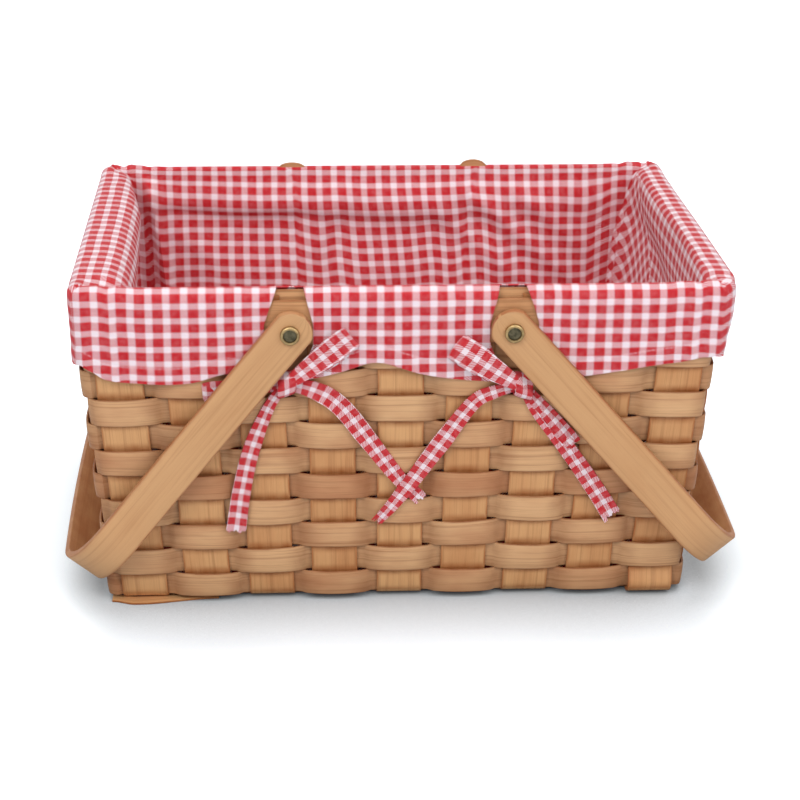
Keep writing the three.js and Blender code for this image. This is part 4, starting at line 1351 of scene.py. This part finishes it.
def cloth_liner():
    """One checked bag: skirt outside, rolled over the rim, loose inside."""
    columns = LinerColumns()
    rings = skirt_rings(columns) + rim_rings(columns) + bag_rings(columns)
    x_cells, y_cells = columns.count - 1, len(rings) - 1
    liner = flat_grid("checked_liner", x_cells, y_cells)

    def in_notch(centre, normal):
        column = (centre.x + 1) / 2 * x_cells
        row = (centre.y + 1) / 2 * y_cells
        return row < LAST_OPEN_RING and any(start < column < end for start, end in columns.notches)

    choose(liner, "FACE", in_notch)
    bpy.ops.mesh.delete(type="FACE")
    finish_edit()
    flat = places_of(liner)
    column, row = grid_steps(flat[:, 0], x_cells), grid_steps(flat[:, 1], y_cells)
    shape, before, after = (np.stack([ring[item] for ring in rings]) for item in range(3))
    shape[:, -1] = shape[:, 0]
    before[:, -1] = after[:, 0]
    rises = np.stack([np.broadcast_to(ring[3], columns.count) for ring in rings])
    write_point_value(liner, "hem", rises[row, column])
    corners = corner_vertices(liner)
    write_uv(liner, *liner_pattern(columns, shape, before, after, column[corners], row[corners]))
    set_places(liner, shape[row, column])
    hold(liner)
    bpy.ops.object.mode_set(mode="EDIT")
    bpy.ops.mesh.select_all(action="SELECT")
    bpy.ops.mesh.remove_doubles(threshold=0.01 * MM)
    finish_edit()
    outward(liner)
    apply_modifier(liner, "SOLIDIFY", thickness=CLOTH_THICKNESS, offset=0.0)
    smooth(liner, 60)
    settle(liner, "basket", "liner_cloth", "cloth_liner")


# Bows

TIE_STEP = 1.6 * MM
TIE_STRANDS = 12
TIE_STAND_OFF = 0.6
BOW_FOOT = 3.6 * MM
BOW_DEPTH = 8.5 * MM
BOW_TO_ARM = 0.6 * MM
PRESSED_EDGE = (-4 * MM, -0.8 * MM)
# Routes of the tails in millimetres along the wall, out from it and up, then widths at shares of the length
TAILS = {
    "left": [
        ([(0, 4.6, 0), (-10, 4.6, -16), (-20, 4.4, -42), (-26, 4.2, -68), (-30, 4.6, -94)],
         [0, 0.15, 0.4, 1], [5.5, 6.5, 9.5, 11.5]),
        ([(0, 4.8, 0), (16, 5.4, -4), (31, 5.0, -14), (48, 4.4, -37), (65, 4.0, -61), (78, 4.0, -75)],
         [0, 0.2, 0.5, 0.85, 1], [7, 11.5, 11.5, 9, 8.5]),
    ],
    "right": [
        ([(0, 4.8, 0), (-16, 5.4, -4), (-28, 5.0, -11), (-45, 4.6, -35), (-63, 5.4, -61), (-74, 5.6, -76),
          (-82, 5.0, -86)],
         [0, 0.15, 0.5, 0.8, 1], [5.5, 8, 11, 9, 6]),
        ([(0, 4.6, 0), (10, 4.6, -17), (29, 4.2, -43), (45, 4.2, -67), (56, 4.6, -85)],
         [0, 0.15, 0.5, 1], [5.5, 8, 10, 11.5]),
    ],
}
# Reach, rise, under and upper layer of the loops, the way of their width, then widths at shares of the length
LOOPS = {
    "left": [
        ((38, 31, 6.3, 9.8), (-31, 0, 38), [0, 0.2, 0.35, 0.5, 0.65, 0.8, 1], [6, 12, 15, 14, 14, 11, 6]),
        ((-47, -4, 3.9, 5.3), (4, 0, -47), [0, 0.25, 0.5, 0.75, 1], [6, 9, 10, 9, 6]),
    ],
    "right": [
        ((-39, 27, 6.3, 10.2), (27, 0, 39), [0, 0.2, 0.35, 0.5, 0.65, 0.8, 1], [6, 13, 17, 16, 15, 11, 6]),
        ((32, -37, 3.9, 5.4), (37, 0, 32), [0, 0.25, 0.5, 0.75, 1], [5, 8, 8.5, 8, 5]),
    ],
}


def smooth_route(spots, spacing):
    """An even run of points on a smooth line through the spots."""
    spots = [Vector(spot) for spot in spots]
    ends = [2 * spots[0] - spots[1], *spots, 2 * spots[-1] - spots[-2]]
    fine = []
    for a, b, c, d in zip(ends, ends[1:], ends[2:], ends[3:]):
        for t in np.linspace(0, 1, 24, endpoint=False):
            fine.append(0.5 * (2 * b + (c - a) * t + (2 * a - 5 * b + 4 * c - d) * t * t
                               + (3 * b - a - 3 * c + d) * t * t * t))
    fine.append(spots[-1])
    fine = np.array(fine)
    gone = np.concatenate([[0], np.cumsum(np.linalg.norm(np.diff(fine, axis=0), axis=1))])
    count = max(6, round(gone[-1] / spacing))
    even = np.linspace(0, gone[-1], count + 1)
    return np.column_stack([np.interp(even, gone, fine[:, axis]) for axis in range(3)]), even


def tie_ribbon(name, spots, widths, seed, across=None, curl=0.0, frayed=False):
    """A strip of checked cotton along a route, flat to the wall or with its width along a given way."""
    chance = random.Random(seed)
    route, gone = smooth_route(spots, TIE_STEP)
    length = gone[-1]
    tangents = np.gradient(route, axis=0)
    tangents /= np.linalg.norm(tangents, axis=1)[:, None]
    if across is None:
        sides = np.cross(tangents, np.array([0.0, 1.0, 0.0]))
        sides /= np.linalg.norm(sides, axis=1)[:, None]
    else:
        sides = np.tile(np.array(across) / np.linalg.norm(across), (len(route), 1))
    faces = np.cross(sides, tangents)
    width = np.interp(gone / length, *widths)
    last = len(route) - 1
    ribbon = flat_grid(name, last, TIE_STRANDS)
    flat = places_of(ribbon)
    share = flat[:, 1]
    step, strand = grid_steps(flat[:, 0], last), grid_steps(share, TIE_STRANDS)
    samples = [(s * 0.11 + seed, t * 1.3, seed * 0.7) for s, t in zip(step, share)]
    ruffle = np.array([noise.noise(Vector(sample)) for sample in samples])
    places = route[step] + sides[step] * (share * width[step] / 2)[:, None]
    places += faces[step] * (curl * (1 - share ** 2) * width[step] / TIE_WIDTH + ruffle * 0.5 * MM)[:, None]
    if frayed:
        loose = np.array([chance.uniform(-0.8, 2.8) for _ in range(TIE_STRANDS + 1)]) * MM
        places += tangents[step] * np.where(step == last, loose[strand], 0)[:, None]
    set_places(ribbon, places)
    corners = corner_vertices(ribbon)
    along = gone[step[corners]] + seed * 3.1 * MM
    spread = share[corners] * TIE_WIDTH * 0.5 * (width[step[corners]] / TIE_WIDTH) ** 0.5
    write_uv(ribbon, along * TIE_CHECK, spread * TIE_CHECK + CHECK_DOWN * 0.77)
    apply_modifier(ribbon, "SOLIDIFY", thickness=TIE_THICKNESS, offset=0.0)
    smooth(ribbon, 50)
    return ribbon, length


def loop_spots(reach, rise, low, high):
    """Out along the upper layer of a loop, round its end and back underneath."""
    shares = [0.0, 0.3, 0.65, 0.92, 1.0, 0.92, 0.6, 0.3, 0.02]
    middle = (low + high) / 2
    outs = [middle + 0.5, high - 0.4, high, high - 0.5, middle, low + 0.3, low, low + 0.3, middle - 0.5]
    sags = [0.0, 0.0, 0.0, 0.2, 1.4, 2.6, 3.4, 2.0, 0.0]
    return [(reach * share, out, rise * share - sag) for share, out, sag in zip(shares, outs, sags)]


def press_under_handle(bow, sign):
    """Lies flatter where the arm of a handle comes down over it."""
    places = places_of(bow)
    angle = handle_rest_angle()
    across = sign * places[:, 0] - PIVOT_X
    above = across * math.sin(angle) + (places[:, 2] - PIVOT_Z) * math.cos(angle) + HANDLE_WIDTH / 2
    wall = half_depth(places[:, 2]) + BOW_FOOT
    pressed = -wall + (places[:, 1] + wall) * (ARM_INNER - BOW_TO_ARM - wall) / BOW_DEPTH
    covered = ease(above, *PRESSED_EDGE) * (places[:, 1] < -wall)
    places[:, 1] += (pressed - places[:, 1]) * covered
    set_places(bow, places)


def tied_bow(face, face_sign, side, sign):
    """A bow that draws the foot of a notch together: two tails, two loops and a wrapped knot."""
    name = f"bow_{face}_{side}"
    seed = 11 * (1 if side == "left" else 2) + (0 if face == "front" else 5)
    parts = []

    def tie(part, spots, shares, widths, number, **settings):
        route = []
        for along, out, up in spots:
            z = KNOT_Z[side] + up * MM
            depth = half_depth(z) + (out + TIE_STAND_OFF) * MM
            route.append((sign * KNOT_X[side] + along * MM, -depth, z))
        widths = (shares, np.array(widths) * MM)
        parts.append(tie_ribbon(f"{name}_{part}", route, widths, seed + number, **settings))

    for number, (spots, shares, widths) in enumerate(TAILS[side]):
        tie(f"tail_{number}", spots, shares, widths, number, curl=0.7 * MM, frayed=True)
    for number, (sizes, way, shares, widths) in enumerate(LOOPS[side]):
        tie(f"loop_{number}", loop_spots(*sizes), shares, widths, 20 + number, across=way, curl=0.5 * MM)
    turns = np.linspace(0, 2 * math.pi, 13)
    wrap = [(math.cos(turn), 6.2 + 3.3 * math.cos(turn), 6.6 * math.sin(turn)) for turn in turns]
    tie("knot", wrap, [0, 0.5, 1], [11, 8.5, 11], 40, across=(1.0, 0.0, KNOT_TILT[side]), curl=0.8 * MM)
    hold(parts[0][0])
    for ribbon, _ in parts:
        ribbon.select_set(True)
    bpy.ops.object.join()
    bow = name_new(f"{name}_tied")
    press_under_handle(bow, sign)
    if face_sign > 0:
        places = places_of(bow)
        places[:, 1] *= -1
        set_places(bow, places)
        outward(bow)
    settle(bow, "basket", "tie_cloth", name)


# Camera, light and floor

CAMERA_TURNS = (3.210, 22.970, 0.538)
CAMERA_PLACE = (MIDDLE_X - 0.05946, -1.17289, 0.57687)
CAMERA_LENS = 89.456
CAMERA_SENSOR = 36
LIGHT_TARGET = (0, 0, 0.1)
# Place, size and strength
LIGHTS = {
    "key light": ((-0.9, -1.6, 1.7), (1.6, 1.2), 23),
    "fill light": ((1.2, -1.4, 1.3), (1.4, 1.2), 13),
    "top light": ((0.0, 0.2, 2.0), (1.8, 1.4), 15),
}


def set_camera():
    yaw, pitch, roll = (math.radians(turn) for turn in CAMERA_TURNS)
    ahead = Vector((math.sin(yaw) * math.cos(pitch), math.cos(yaw) * math.cos(pitch), -math.sin(pitch)))
    right = Vector((math.cos(yaw), -math.sin(yaw), 0))
    up = right.cross(ahead)
    right_rolled = math.cos(roll) * right + math.sin(roll) * up
    up_rolled = -math.sin(roll) * right + math.cos(roll) * up
    lens = bpy.data.cameras.new("photo camera")
    lens.lens = CAMERA_LENS
    lens.sensor_width = CAMERA_SENSOR
    camera = link_new("photo camera", lens)
    turn = Matrix((right_rolled, up_rolled, -ahead)).transposed().to_4x4()
    camera.matrix_world = Matrix.Translation(CAMERA_PLACE) @ turn
    bpy.context.scene.camera = camera


def area_light(name, place, size, watts):
    lamp = bpy.data.lights.new(name, "AREA")
    lamp.shape = "RECTANGLE"
    lamp.size, lamp.size_y = size
    lamp.energy = watts
    holder = link_new(name, lamp)
    holder.location = place
    holder.rotation_euler = (Vector(LIGHT_TARGET) - Vector(place)).to_track_quat("-Z", "Y").to_euler()


def set_studio():
    """White to the eye and in reflections, but a dimmer light on the basket, weakest from below."""
    world = bpy.data.worlds.new("studio")
    bpy.context.scene.world = world
    sky = Finish(world, "Background")
    ray = sky.add("ShaderNodeLightPath").outputs
    seen = sky.sum("MAXIMUM", ray["Is Camera Ray"], ray["Is Glossy Ray"])
    height = sky.split(sky.add("ShaderNodeTexCoord").outputs["Generated"])["Z"]
    dim = sky.add("ShaderNodeMapRange", {"Value": height, "To Min": 0.2, "To Max": 0.5}).outputs["Result"]
    level = sky.add("ShaderNodeMix", {"Factor": seen, 2: dim, 3: 1.0}, data_type="FLOAT").outputs[0]
    sky.fill(sky.shader, {"Color": (1, 1, 1, 1), "Strength": level})
    for name, (place, size, watts) in LIGHTS.items():
        area_light(name, place, size, watts)


def paper_floor():
    """White paper with painted light and shadow: its camera-seen glow rises far away and is painted brighter
    beside the basket, ambient occlusion paints the basket's shadow into its colour and glow, and a cool tint
    is painted against the warm light the wood bounces onto it.
    """
    deselect_all()
    bpy.ops.mesh.primitive_plane_add(size=30, location=(0, 0, 0))
    floor = name_new("floor")
    paper = Finish(bpy.data.materials.new("white paper floor"))
    place = paper.object_place()
    tooth = paper.speckle(place, 900, 900, 900, detail=2)
    # A cool tint in the paper and its glow is painted against the warm light that the wood bounces onto it
    white = paper.mix(tooth, (0.79, 0.83, 0.87, 1), (0.81, 0.85, 0.89, 1))
    # Ambient occlusion round the basket paints its shadow into the floor's colour and glow
    painted_shadow_ao = paper.add("ShaderNodeAmbientOcclusion", {"Distance": 105 * MM}, samples=8).outputs["AO"]
    away = paper.vector("LENGTH", {0: place})["Value"]
    glow = paper.sum("MULTIPLY", painted_shadow_ao, paper.span(away, 0.45, 1.6, 0.46, 0.9))
    # Painted light beside the basket lifts the glow over its real shadow there
    aside = paper.sum("ABSOLUTE", paper.split(place)["X"])
    glow = paper.sum("ADD", glow, paper.span(aside, 0.165, 0.21, 0.0, 0.28))
    seen = paper.add("ShaderNodeLightPath").outputs["Is Camera Ray"]
    paper.fill(paper.shader, {
        "Base Color": paper.mix(painted_shadow_ao, (0, 0, 0, 1), white),
        "Roughness": 0.9,
        "Specular IOR Level": 0.1,
        "Emission Color": (0.92, 0.97, 1, 1),
        "Emission Strength": paper.sum("MULTIPLY", seen, glow),
    })
    floor.data.materials.append(paper.owner)


set_camera()
for column in range(CROSS_STAKES):
    cross_stake(column)
for lane in range(LONG_STAKES):
    long_stake(lane)
loose_strip()
for row in range(1, ROWS + 1):
    weaver_row(row)
rim_band("outer_rim_band", BAND_OFFSET, OUTER_BAND, 500)
rim_band("inner_rim_band", -BAND_OFFSET, INNER_BAND, 501)
swing_handle("left", -1)
swing_handle("right", 1)
pivot_rivets()
cloth_liner()
for face_name, face_way in (("front", -1), ("back", 1)):
    for side_name, side_way in (("left", -1), ("right", 1)):
        tied_bow(face_name, face_way, side_name, side_way)
set_studio()
paper_floor()

bpy.context.scene.view_settings.view_transform = "Standard"
